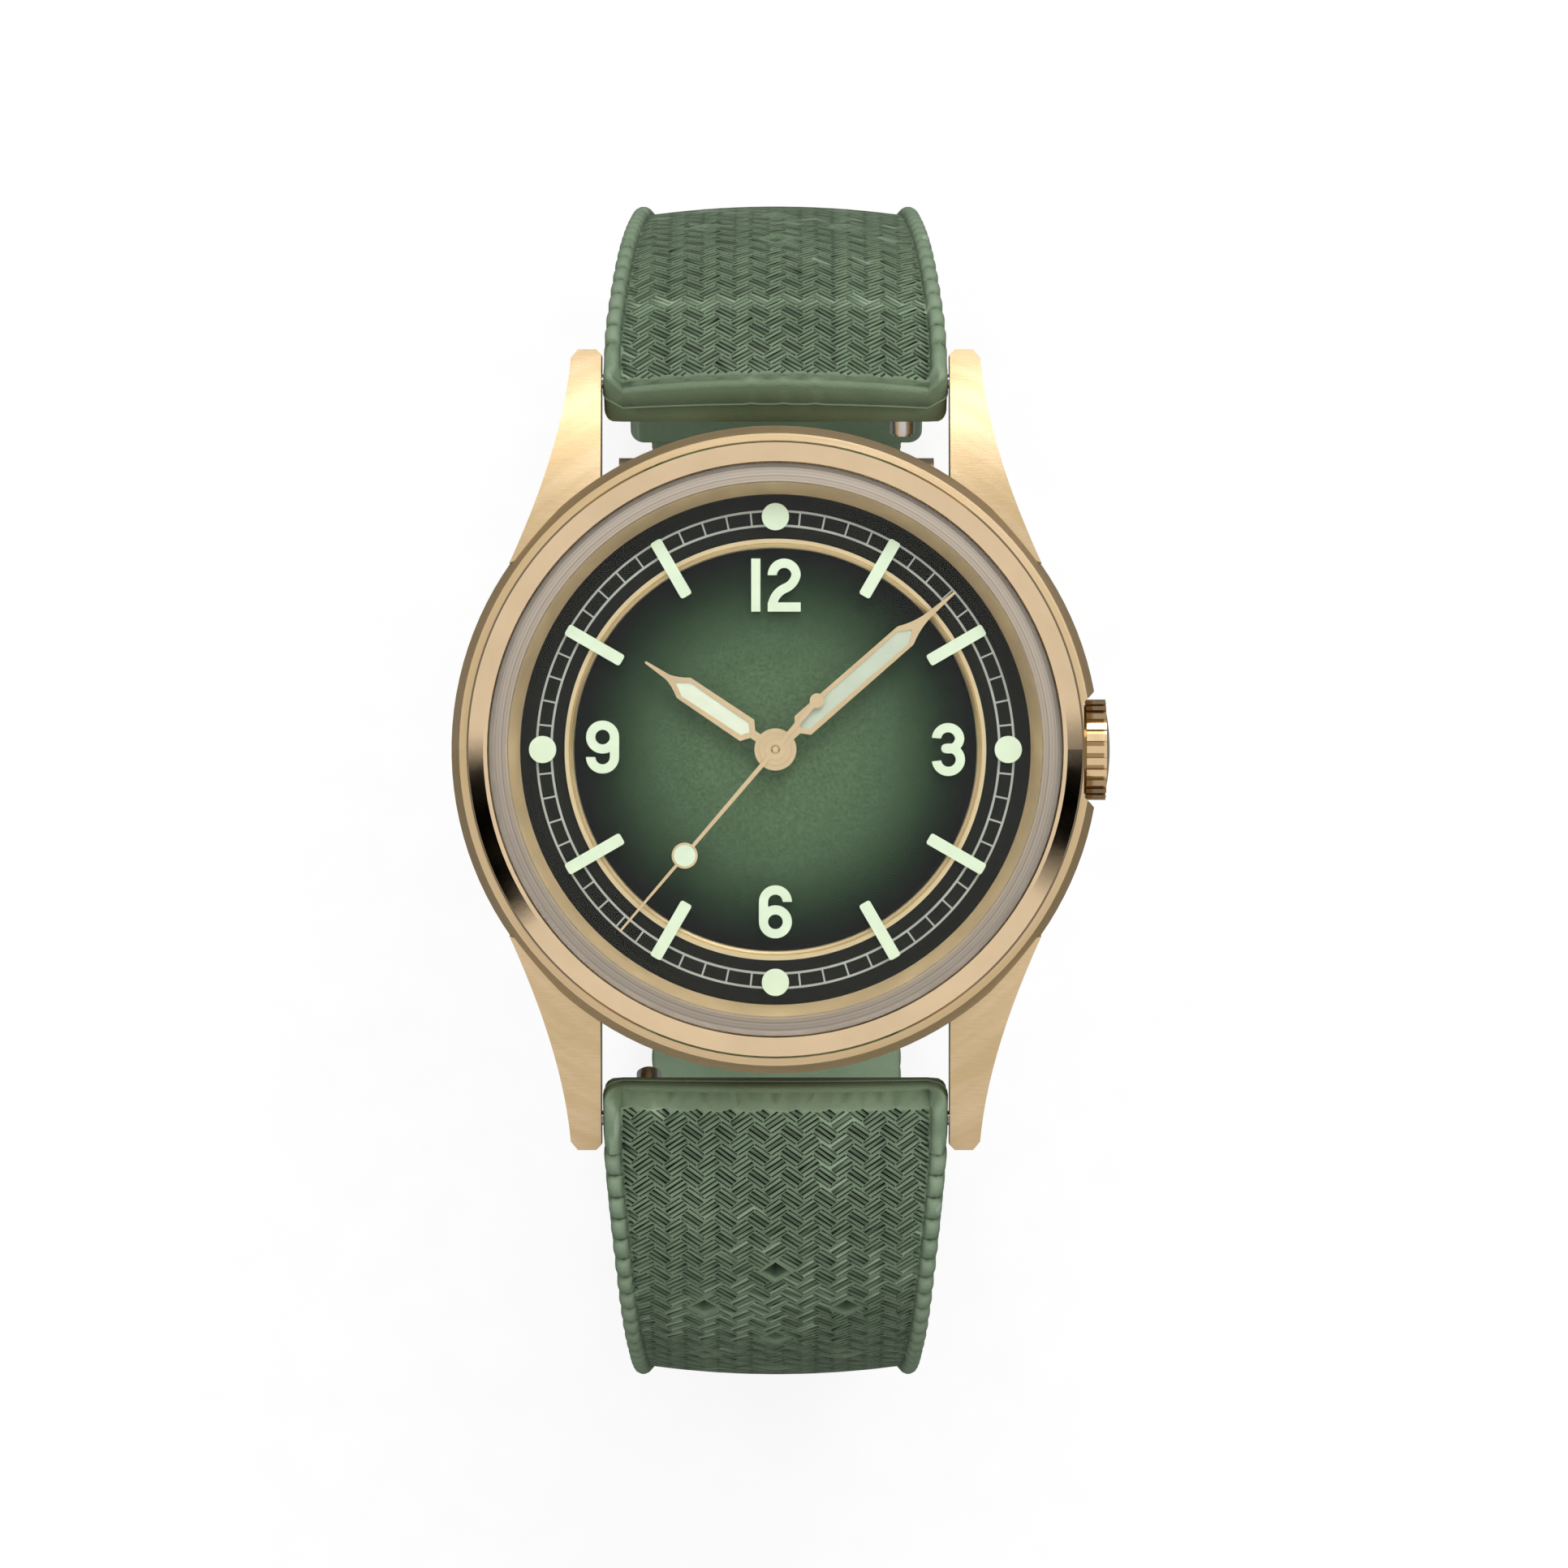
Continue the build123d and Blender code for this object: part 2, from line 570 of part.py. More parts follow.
def train_bridge():
    z0, z1 = TRAIN_BRIDGE_Z, 2.5
    bridge = sector(12.6, 131, 205, z0, z1) + sector(5.3, 131, 258, z0, z1) + disc(2.0, z0, z1)
    bridge += [disc(1.0, z0, PLATE_Z, polar(*p)) for p in TRAIN_PILLARS]
    bridge -= [disc(0.46, 0, 5, polar(*spot)) for spot in (THIRD_AT, ESCAPE_AT, (0, 0))]
    return bridge - [disc(0.35, 0, 3.0, polar(*p)) for p in TRAIN_PILLARS]


def balance_cock():
    z0, z1 = TRAIN_BRIDGE_Z, 2.5
    bx, by = polar(*BALANCE_AT)
    fx, fy = polar(*COCK_FOOT)
    arm = make_hull([*(Pos(bx, by) * Circle(1.3)).edges(), *(Pos(fx, fy) * Circle(1.4)).edges()])
    cock = extrude(Plane.XY.offset(z0) * arm, z1 - z0) + disc(1.1, z0, PLATE_Z, (fx, fy))
    return cock - disc(0.46, 0, 5, (bx, by)) - disc(0.35, 0, 3.0, (fx, fy))


def bridge_screws():
    """Slotted screws that hold the bridges down."""
    screws = []
    for spot, face in SCREW_SPOTS:
        x, y = polar(*spot)
        screw = disc(0.34, face, face + 0.75, (x, y)) + disc(0.62, face - 0.2, face, (x, y))
        screws.append(screw - block(x - 0.7, x + 0.7, y - 0.08, y + 0.08, face - 0.3, face - 0.1))
    return Compound(children=screws)


def bearing_jewels():
    """Pierced jewels pressed into the bridges and the main plate."""
    jewels = [ring(PIVOT_R + FIT, 0.45, TRAIN_BRIDGE_Z + 0.05, 2.45)]
    for spot in (THIRD_AT, ESCAPE_AT, BALANCE_AT):
        jewels.append(ring(PIVOT_R + FIT, 0.45, TRAIN_BRIDGE_Z + 0.05, 2.45, polar(*spot)))
        jewels.append(ring(PIVOT_R + FIT, 0.45, PLATE_Z, 3.98, polar(*spot)))
    return Compound(children=jewels)


def arbor(at, z0, z1, wide_z0, wide_z1, wide_r=0.22):
    """A steel arbor with thin pivots at both ends."""
    return disc(PIVOT_R, z0, z1, at) + disc(wide_r, wide_z0, wide_z1, at)


def spoked_wheel(teeth, module, z0, z1, at, phase):
    wheel = gear(teeth, module, z0, z1, at, phase)
    return wheel - spokes(teeth * module / 2 - 0.45, 0.75, z0, z1, at)


def barrel():
    at = polar(*BARREL_AT)
    phase = gap_phase(BARREL_TEETH, BARREL_AT[1])
    toothed = gear(BARREL_TEETH, BARREL_MODULE, BARREL_Z, 3.5, at, phase, slim=0.82)
    drum = toothed + disc(4.85, BARREL_Z, 4.74, at)
    return drum - disc(4.6, 3.4, 4.6, at) - disc(0.53, 0, 6, at)


def barrel_arbor():
    at = polar(*BARREL_AT)
    square = Pos(at[0], at[1], 2.15) * Box(0.6, 0.6, 0.42)
    core = disc(0.5, BARREL_BRIDGE_Z, 4.74, at) + disc(0.9, 3.45, 4.55, at)
    return core + disc(0.32, 4.74, 4.98, at) + square


def ratchet_wheel():
    x, y = polar(*BARREL_AT)
    distance = sqrt((x - CROWN_WHEEL_X) ** 2 + y**2)
    module = 2 * distance / (RATCHET_TEETH + CROWN_WHEEL_TEETH)
    phase = gap_phase(RATCHET_TEETH, degrees(atan2(y, x - CROWN_WHEEL_X)))
    wheel = gear(RATCHET_TEETH, module, WHEELS_TOP_Z, 2.3, (x, y), phase, slim=0.8)
    return wheel - Pos(x, y, 2.15) * Box(0.6, 0.6, 1)


def crown_wheel():
    """Spur teeth for the ratchet wheel, and face teeth for the winding pinion."""
    x, y = polar(*BARREL_AT)
    at = (CROWN_WHEEL_X, 0)
    distance = sqrt((x - CROWN_WHEEL_X) ** 2 + y**2)
    module = 2 * distance / (RATCHET_TEETH + CROWN_WHEEL_TEETH)
    direction = degrees(atan2(y, x - CROWN_WHEEL_X))
    wheel = gear(CROWN_WHEEL_TEETH, module, WHEELS_TOP_Z, 2.28, at, direction, bore=0.63, slim=0.8)
    tooth = block(1.95, 2.4, -0.09, 0.09, 2.28, 2.4)
    step = 360 / CROWN_WHEEL_TEETH
    turns = [step * (k + 0.5) for k in range(CROWN_WHEEL_TEETH)]
    return wheel + [Pos(CROWN_WHEEL_X, 0, 0) * Rot(0, 0, turn) * tooth for turn in turns]


def centre_wheel():
    """The minute wheel of the train: a hollow arbor, a pinion and a spoked wheel."""
    wheel = spoked_wheel(CENTRE_TEETH, CENTRE_MODULE, CENTRE_Z, 3.12, (0, 0), THIRD_AT[1])
    pinion = gear(CENTRE_PINION_TEETH, BARREL_MODULE, 3.12, 3.65, (0, 0), BARREL_AT[1], slim=0.82)
    return wheel + pinion + disc(0.42, CENTRE_Z, 5.9) - disc(0.21, 2, 7)


def cannon_pinion():
    teeth = gear(CANNON_TEETH, CANNON_MODULE, 5.03, 5.25, (0, 0), MINUTE_WHEEL_AT[1])
    return teeth + disc(0.5, 5.25, MINUTE_Z + HAND_T) - disc(0.42, 4, 5.9) - disc(0.3, 4, 8)


def third_wheel():
    at = polar(*THIRD_AT)
    module = 2 * THIRD_AT[0] / (THIRD_TEETH + FOURTH_PINION_TEETH)
    wheel = spoked_wheel(THIRD_TEETH, module, THIRD_Z, 2.86, at, THIRD_AT[1] + 180)
    phase = gap_phase(THIRD_PINION_TEETH, THIRD_AT[1])
    pinion = gear(THIRD_PINION_TEETH, CENTRE_MODULE, 2.86, 3.3, at, phase)
    return wheel + pinion + arbor(at, 2.25, 3.98, 2.52, 3.7)


def fourth_wheel():
    module = 2 * THIRD_AT[0] / (THIRD_TEETH + FOURTH_PINION_TEETH)
    wheel = spoked_wheel(FOURTH_TEETH, FOURTH_MODULE, FOURTH_Z, 2.67, (0, 0), ESCAPE_AT[1])
    pinion = gear(FOURTH_PINION_TEETH, module, 2.67, 2.95, (0, 0), THIRD_AT[1] + 180 / FOURTH_PINION_TEETH)
    return wheel + pinion + disc(0.18, 2.67, SECONDS_Z + 0.1) + disc(PIVOT_R, 2.25, 2.6)


def escape_wheel():
    """Twenty hooked teeth on a light wheel, with its pinion."""
    at = polar(*ESCAPE_AT)
    outline = []
    for k in range(ESCAPE_TEETH):
        middle = 360 / ESCAPE_TEETH * k
        outline += [polar(1.75, middle - 4), polar(ESCAPE_R, middle + 3)]
        outline += [polar(ESCAPE_R, middle + 5.5), polar(1.75, middle + 2)]
    wheel = Pos(at[0], at[1], 0) * slab(outline, ESCAPE_Z, ESCAPE_Z + 0.14)
    wheel -= spokes(1.5, 0.5, ESCAPE_Z, ESCAPE_Z + 0.14, at)
    phase = gap_phase(ESCAPE_PINION_TEETH, ESCAPE_AT[1])
    pinion = gear(ESCAPE_PINION_TEETH, FOURTH_MODULE, FOURTH_Z, 2.8, at, phase)
    return wheel + pinion + arbor(at, 2.25, 3.98, 2.52, 3.7, 0.2)


def pallet_fork():
    """The lever between the escape wheel and the balance, with its two pallets."""
    reach = sqrt(PALLET_DISTANCE**2 - ESCAPE_R**2)
    z0, z1 = ESCAPE_Z, ESCAPE_Z + 0.14
    arms = block(-0.45, -0.2, -reach, reach, z0, z1) + block(-0.45, 1.35, -0.14, 0.14, z0, z1)
    arms += [block(-0.65, -0.2, side * 1.2, side * 1.42, z0, z1) for side in (-1, 1)]
    fork = block(1.2, 1.5, -0.32, 0.32, z0, z1) - block(1.3, 1.6, -0.14, 0.14, 0, 5)
    shape = arms + fork + disc(0.3, z0, z1)
    staff = disc(PIVOT_R, 3.42, 4.3)
    return Pos(*pallet_at(), 0) * Rot(0, 0, pallet_direction()) * (shape + staff)


def balance_wheel():
    """The balance with its staff, roller and impulse pin."""
    wheel = ring(BALANCE_R - 0.4, BALANCE_R, 2.95, 3.3)
    wheel += block(-3.7, 3.7, -0.2, 0.2, 3.0, 3.15) + block(-0.2, 0.2, -3.7, 3.7, 3.0, 3.15)
    wheel += disc(0.45, 3.0, 3.45)
    wheel += Pos(*polar(0.3, pallet_direction() + 180), 0) * disc(0.07, 3.45, 3.62)
    wheel += arbor((0, 0), 2.25, 3.98, 2.55, 3.7, 0.2)
    return Pos(*polar(*BALANCE_AT), 0) * wheel


def rotor():
    half = sector(ROTOR_R, 180, 360, ROTOR_Z, 1.15) + ring(1.35, 2.4, ROTOR_Z, 1.5)
    half -= disc(1.35, 0, 3)
    window = sector(9.4, 200, 340, 0, 3) - disc(4.2, 0, 3)
    return half - window


def rotor_weight():
    return sector(ROTOR_R, 180, 360, 1.15, 1.85) - disc(10.3, 0, 3)


def rotor_bearing():
    """The fixed core of the rotor's bearing, with its slotted screw."""
    core = disc(1.3, 1.0, TRAIN_BRIDGE_Z)
    return core - block(-0.9, 0.9, -0.12, 0.12, 0.9, 1.15)


def minute_wheel():
    at = polar(*MINUTE_WHEEL_AT)
    phase = gap_phase(MINUTE_TEETH, MINUTE_WHEEL_AT[1])
    wheel = gear(MINUTE_TEETH, CANNON_MODULE, MOTION_Z, 5.22, at, phase)
    pinion = gear(MINUTE_PINION_TEETH, HOUR_MODULE, 5.22, 5.46, at, MINUTE_WHEEL_AT[1] + 180)
    return wheel + pinion - disc(0.23, 4, 6, at)


def hour_wheel():
    phase = MINUTE_WHEEL_AT[1] + 180 / HOUR_TEETH
    wheel = gear(HOUR_TEETH, HOUR_MODULE, 5.3, 5.42, (0, 0), phase)
    return wheel + disc(0.85, 5.3, HOUR_Z + HAND_T) - disc(0.54, 4, 8)


# ---------------------------------------------------------------- strap
def arm_runs(arm):
    """An arm's outer face as (length, turn radius or None, angle below horizontal at its start)."""
    tilt, bend, under = arm["tilt"], arm["bend_to"], arm["under_to"]
    return [
        (arm["lead"], None, tilt),
        (arm["bend_r"] * radians(bend - tilt), arm["bend_r"], tilt),
        (arm["side_r"] * radians(90 - bend), arm["side_r"], bend),
        (arm["drop"], None, 90),
        (arm["under_r"] * radians(under - 90), arm["under_r"], 90),
        (arm["tail"], None, under),
    ]


def arm_length(arm):
    return sum(run[0] for run in arm_runs(arm))


def arm_start(arm):
    """The outer edge of the strap's end, from the spring bar's axis."""
    a = radians(arm["tilt"])
    over = STRAP_END_T - STRAP_UNDER_BAR
    out = SPRING_BAR_Y - STRAP_END_BACK * cos(a) + over * sin(a)
    return out, SPRING_BAR_Z + STRAP_END_BACK * sin(a) + over * cos(a)


def arm_point(arm, s, depth=0.0):
    """(distance out from the case, height, angle) at s along an arm, depth in from its outer face."""
    out, height = arm_start(arm)
    left = s
    angle = arm["tilt"]
    for length, radius, start in arm_runs(arm):
        step = min(left, length)
        angle = start
        if radius:
            angle = start + degrees(step / radius)
            out += radius * (sin(radians(angle)) - sin(radians(start)))
            height += radius * (cos(radians(angle)) - cos(radians(start)))
        else:
            out += step * cos(radians(start))
            height -= step * sin(radians(start))
        left -= step
        if left <= 0:
            break
    return out - depth * sin(radians(angle)), height - depth * cos(radians(angle)), angle


def strap_thickness(s):
    share = min(s / STRAP_TAPER_LENGTH, 1)
    return STRAP_END_T + (STRAP_TAIL_T - STRAP_END_T) * share


def strap_side(arm):
    """The strap seen from the side. Its outer and inner faces are curves up to the straight tail."""
    end = arm_length(arm)
    curved = end - arm["tail"]
    stations = [curved * k / 26 for k in range(27)]
    outer = Spline(*[arm_point(arm, s)[:2] for s in stations])
    inner = Spline(*[arm_point(arm, s, strap_thickness(s))[:2] for s in stations])
    lines = [outer, inner, Line(outer @ 0, inner @ 0)]
    if arm["tail"]:
        tip_out = arm_point(arm, end)[:2]
        tip_in = arm_point(arm, end, STRAP_TAIL_T)[:2]
        lines += [Line(outer @ 1, tip_out), Line(tip_out, tip_in), Line(tip_in, inner @ 1)]
    else:
        lines += [Line(outer @ 1, inner @ 1)]
    face = make_face(Curve() + lines)
    start_corners = face.vertices().sort_by_distance(Vector(*(outer @ 0)))[:1]
    face = fillet(start_corners, 1.2)
    start_corners = face.vertices().sort_by_distance(Vector(*(inner @ 0)))[:1]
    return fillet(start_corners, 0.5)


def strap_front(arm):
    """The strap's width at each height, seen from the front."""
    half = [(width / 2, arm_point(arm, s)[1]) for s, width in STRAP_WIDTHS]
    half = [(STRAP_LUG_W / 2, 15)] + half + [(STRAP_TAIL_W / 2, -90)]
    return make_face(Polyline(*half, *[(-x, z) for x, z in half[::-1]], close=True))


def hole_places(arm):
    """(distance along the arm, places across it): single holes and pairs take turns."""
    first, last, pitch = arm["holes"]
    count = int((last - first) / pitch) + 1
    pair = (-HOLE_PAIR_X, HOLE_PAIR_X)
    return [(first + pitch * k, pair if k % 2 else (0,)) for k in range(count)]


def strap_holes(arm):
    """Diamond vent holes, square to the strap's face."""
    diamond = Polyline((HOLE_W / 2, 0), (0, HOLE_L / 2), (-HOLE_W / 2, 0), (0, -HOLE_L / 2), close=True)
    diamond = extrude(make_face(diamond), 4, both=True)
    holes = []
    for s, places in hole_places(arm):
        out, height, angle = arm_point(arm, s)
        for x in places:
            holes.append(Pos(x, out, height) * Rot(-angle, 0, 0) * diamond)
    return holes


def end_frame(arm):
    """The placement of the strap's end: on the spring bar, +Y along the arm, +Z towards its outer face."""
    return Pos(0, SPRING_BAR_Y, SPRING_BAR_Z) * Rot(-arm["tilt"], 0, 0)


def knob_frame(arm):
    """+Z along the quick-release knob, which points back and under the strap's end."""
    return end_frame(arm) * Pos(KNOB_X, 0, 0) * Rot(135, 0, 0)


def strap(arm):
    body = extrude(Plane.YZ * strap_side(arm), 12, both=True)
    body &= extrude(Plane.XZ * strap_front(arm), 60, both=True)
    body -= strap_holes(arm)
    body -= end_frame(arm) * Rot(0, 90, 0) * Cylinder(BAR_TUBE_R + FIT, 30)
    room = KNOB_TRAVEL + 2 * KNOB_R + 0.3
    body -= knob_frame(arm) * Pos(0.15 + KNOB_R - room / 2, 0, 2) * Box(room, 2 * KNOB_R + 0.3, 4)
    return body


def strap_short():
    """The 12 o'clock arm, with a bar hole and a tongue slot at its buckle end."""
    body = strap(SHORT_ARM)
    y, z = buckle_bar_at()
    body += rod_x(STRAP_TAIL_T / 2, -STRAP_TAIL_W / 2, STRAP_TAIL_W / 2, y, z)
    body -= rod_x(0.75, -12, 12, y, z)
    slot = Pos(0, y, z) * Rot(-SHORT_ARM["under_to"], 0, 0) * block(-1.1, 1.1, -2.8, 6, -4, 4)
    return body - slot


def strap_long():
    """The 6 o'clock arm, with a rounded tail."""
    body = strap(LONG_ARM)
    end = arm_point(LONG_ARM, arm_length(LONG_ARM))[0]
    plan = Pos(0, end + 7.9 + 25) * Rectangle(40, 50) + Pos(0, end + 8) * Ellipse(STRAP_TAIL_W / 2 + 0.1, 8)
    body &= extrude(Plane.XY.offset(-90) * plan, 120)
    return Rot(0, 0, 180) * body


def buckle_bar_at():
    """The buckle bar's axis: on the strap's centre line, at its end."""
    out, height, _ = arm_point(SHORT_ARM, arm_length(SHORT_ARM), STRAP_TAIL_T / 2)
    return out, height


def for_arm(shape, arm):
    """The 6 o'clock side is the 12 o'clock side turned half round."""
    return shape if arm is SHORT_ARM else Rot(0, 0, 180) * shape


def spring_bar(arm):
    """The tube and its fixed pin. A slot in the tube lets the quick-release knob slide."""
    tube = rod_x(BAR_TUBE_R, -9.3, 9.3, 0, 0) - rod_x(0.62, 5.4, 10, 0, 0) + rod_x(0.42, -10.9, -9.3, 0, 0)
    frame = end_frame(arm)
    room = KNOB_TRAVEL + 2 * KNOB_R + 0.2
    slot = knob_frame(arm) * Pos(0.1 + KNOB_R - room / 2, 0, 1) * Box(room, 2 * KNOB_R + 0.1, 2)
    return for_arm(frame * tube - slot, arm)


def quick_release(arm):
    """The sliding pin of the spring bar, with the knob that draws it back."""
    pin = rod_x(0.58, 6.7, 9.25, 0, 0) + rod_x(0.42, 9.2, 10.9, 0, 0)
    knob = knob_frame(arm) * disc(KNOB_R, 0, KNOB_REACH)
    knob = knob + knob_frame(arm) * disc(KNOB_R - 0.15, KNOB_REACH, KNOB_REACH + 0.12)
    return for_arm(end_frame(arm) * pin + knob, arm)


# ---------------------------------------------------------------- buckle
def buckle_frame():
    y, z = buckle_bar_at()
    floor = z - BUCKLE_EAR_R
    outer, inner = BUCKLE_W / 2, BUCKLE_INSIDE_W / 2
    frame = block(-outer, outer, y - BUCKLE_L, y, floor, floor + 2.0)
    frame -= block(-inner, inner, y - BUCKLE_L + 1.9, y + 3, floor - 1, floor + 4)
    front = frame.edges().filter_by(Axis.Z).group_by(Axis.Y)[0]
    frame = fillet(front, 1.5)
    frame += [rod_x(BUCKLE_EAR_R, side * inner, side * outer, y, z) for side in (-1, 1)]
    frame -= block(-1.1, 1.1, y - BUCKLE_L - 1, y - BUCKLE_L + 3, floor - 1, floor + 0.95)
    return frame - rod_x(0.75, -9.7, 9.7, y, z)


def buckle_tongue():
    y, z = buckle_bar_at()
    floor = z - BUCKLE_EAR_R
    tongue = rod_x(1.2, -0.9, 0.9, y, z)
    tongue += block(-0.9, 0.9, y - BUCKLE_L + 0.1, y, floor + 0.2, floor + 0.85)
    return tongue - rod_x(0.75, -3, 3, y, z)


def buckle_bar():
    return rod_x(0.72, -9.6, 9.6, *buckle_bar_at())


def keeper(angle):
    """A rubber loop round the short arm, with room above the strap for the tail."""
    runs = arm_runs(SHORT_ARM)
    before = sum(run[0] for run in runs[:4])
    out, height, _ = arm_point(SHORT_ARM, before + SHORT_ARM["under_r"] * radians(angle - 90))
    low, high = -STRAP_TAIL_T - 0.15, 2.7
    wide = STRAP_TAIL_W / 2 + 0.25
    outside = wide + KEEPER_WALL
    loop = block(-outside, outside, -KEEPER_W / 2, KEEPER_W / 2, low - KEEPER_WALL, high + KEEPER_WALL)
    loop = fillet(loop.edges().filter_by(Axis.Y), 0.9)
    ends = loop.faces().sort_by(Axis.Y)
    loop = fillet(ends[0].edges() + ends[-1].edges(), 0.4)
    loop -= block(-wide, wide, -KEEPER_W, KEEPER_W, low, high)
    return Pos(0, out, height) * Rot(-angle, 0, 0) * loop


def solid_parts():
    """Every node's name and the function that makes it."""
    hour_window = window_outline(1.75, 2.1, 0.42, 6.12, 0.47, 6.85)
    minute_window = window_outline(1.9, 2.2, 0.42, 9.65, 0.47, 10.35)
    hour_outline = sword_outline(1.95, 0.73, 6.3, 0.7, 7.38, 0.17, 8.9, 0.07)
    minute_outline = sword_outline(2.08, 0.71, 9.85, 0.69, 11.64, 0.17, 13.6, 0.06)
    bx, by = polar(*BALANCE_AT)
    x, y = polar(*BARREL_AT)
    return {
        "mid_case": mid_case(),
        "bezel": bezel(),
        "crystal": crystal(),
        "crystal_gasket": ring(CRYSTAL_R + 0.01, BEZEL_BORE_R - 0.01, 7.06, 8.55),
        "rehaut_ring": rehaut_ring(),
        "case_back": case_back(),
        "case_back_gasket": ring(14.95, 15.55, CASE_BOTTOM, 1.08),
        "crown_tube": rod_x(1.3, 13.9, 17.5) - rod_x(0.5, 13, 18),
        "movement_holder": movement_holder(),
        "dial": disc(DIAL_R, DIAL_BOTTOM, DIAL_TOP) - disc(1.1, 5, 6),
        "inner_dial_ring": gold_ring(),
        "chapter_ring": ring(CHAPTER_RING_IN_R, DIAL_R, DIAL_TOP, CHAPTER_TOP),
        "minute_track": minute_track(),
        "hour_markers": hour_markers(),
        "hour_numerals": hour_numerals(),
        "hour_hand": sword_hand(hour_outline, hour_window, 1.2, 0.85, HOUR_Z, HOUR_ANGLE),
        "hour_hand_lume": hand_lume(hour_window, HOUR_Z, HOUR_ANGLE),
        "minute_hand": sword_hand(minute_outline, minute_window, 0.9, 0.5, MINUTE_Z, MINUTE_ANGLE),
        "minute_hand_lume": hand_lume(minute_window, MINUTE_Z, MINUTE_ANGLE),
        "seconds_hand": seconds_hand(),
        "seconds_hand_lume": place_hand(disc(0.62, SECONDS_Z, SECONDS_Z + 0.12, (0, 7.95)), SECONDS_ANGLE),
        "crown": crown(),
        "crown_stem": crown_stem(),
        "setting_lever": setting_lever(),
        "winding_pinion": winding_pinion(),
        "main_plate": main_plate(),
        "barrel_bridge": barrel_bridge(),
        "train_bridge": train_bridge(),
        "balance_cock": balance_cock(),
        "bridge_screws": bridge_screws(),
        "bearing_jewels": bearing_jewels(),
        "mainspring_barrel": barrel(),
        "mainspring": spiral(1.3, 4.4, 9, 0.1, 3.5, 4.5, (x, y)),
        "barrel_arbor": barrel_arbor(),
        "ratchet_wheel": ratchet_wheel(),
        "crown_wheel": crown_wheel(),
        "centre_wheel": centre_wheel(),
        "cannon_pinion": cannon_pinion(),
        "third_wheel": third_wheel(),
        "fourth_wheel": fourth_wheel(),
        "escape_wheel": escape_wheel(),
        "pallet_fork": pallet_fork(),
        "balance_wheel": balance_wheel(),
        "hairspring": spiral(0.4, 1.7, 9, 0.05, 2.66, 2.82, (bx, by)),
        "rotor": rotor(),
        "rotor_weight": rotor_weight(),
        "rotor_bearing": rotor_bearing(),
        "minute_wheel": minute_wheel(),
        "hour_wheel": hour_wheel(),
        "strap_short": strap_short(),
        "strap_long": strap_long(),
        "spring_bar_12": spring_bar(SHORT_ARM),
        "spring_bar_6": spring_bar(LONG_ARM),
        "quick_release_12": quick_release(SHORT_ARM),
        "quick_release_6": quick_release(LONG_ARM),
        "buckle_frame": buckle_frame(),
        "buckle_tongue": buckle_tongue(),
        "buckle_bar": buckle_bar(),
        "keeper_fixed": keeper(FIXED_KEEPER_ANGLE),
        "keeper_free": keeper(FREE_KEEPER_ANGLE),
    }


for name, shape in solid_parts().items():
    export_step(shape, f"parts/{name}.step")
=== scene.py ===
import bmesh
import bpy
from math import cos, pi, radians, sin, sqrt
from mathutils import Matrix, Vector
from mathutils.geometry import delaunay_2d_cdt


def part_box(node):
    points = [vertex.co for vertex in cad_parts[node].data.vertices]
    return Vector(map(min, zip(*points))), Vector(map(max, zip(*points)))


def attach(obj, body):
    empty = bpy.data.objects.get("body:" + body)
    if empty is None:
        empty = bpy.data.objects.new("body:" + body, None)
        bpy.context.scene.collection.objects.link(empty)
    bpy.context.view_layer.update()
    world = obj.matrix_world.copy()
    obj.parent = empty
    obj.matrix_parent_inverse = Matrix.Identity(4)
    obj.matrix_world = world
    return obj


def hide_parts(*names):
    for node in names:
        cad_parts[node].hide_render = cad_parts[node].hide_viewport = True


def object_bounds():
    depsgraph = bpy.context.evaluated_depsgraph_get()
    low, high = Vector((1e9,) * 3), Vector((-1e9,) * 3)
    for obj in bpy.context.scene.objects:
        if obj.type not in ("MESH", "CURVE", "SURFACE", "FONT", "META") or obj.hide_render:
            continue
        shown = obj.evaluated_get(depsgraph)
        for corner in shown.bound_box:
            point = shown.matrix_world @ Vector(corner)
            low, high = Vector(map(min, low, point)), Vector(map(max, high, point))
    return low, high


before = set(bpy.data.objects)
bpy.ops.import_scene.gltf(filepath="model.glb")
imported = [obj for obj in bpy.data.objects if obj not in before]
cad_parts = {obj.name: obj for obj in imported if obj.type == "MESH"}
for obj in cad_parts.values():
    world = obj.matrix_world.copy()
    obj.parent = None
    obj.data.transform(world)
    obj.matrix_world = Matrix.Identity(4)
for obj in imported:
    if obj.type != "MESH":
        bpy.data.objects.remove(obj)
cad_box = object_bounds()
MM = 0.001

# ------------------------------------------------------------------ materials


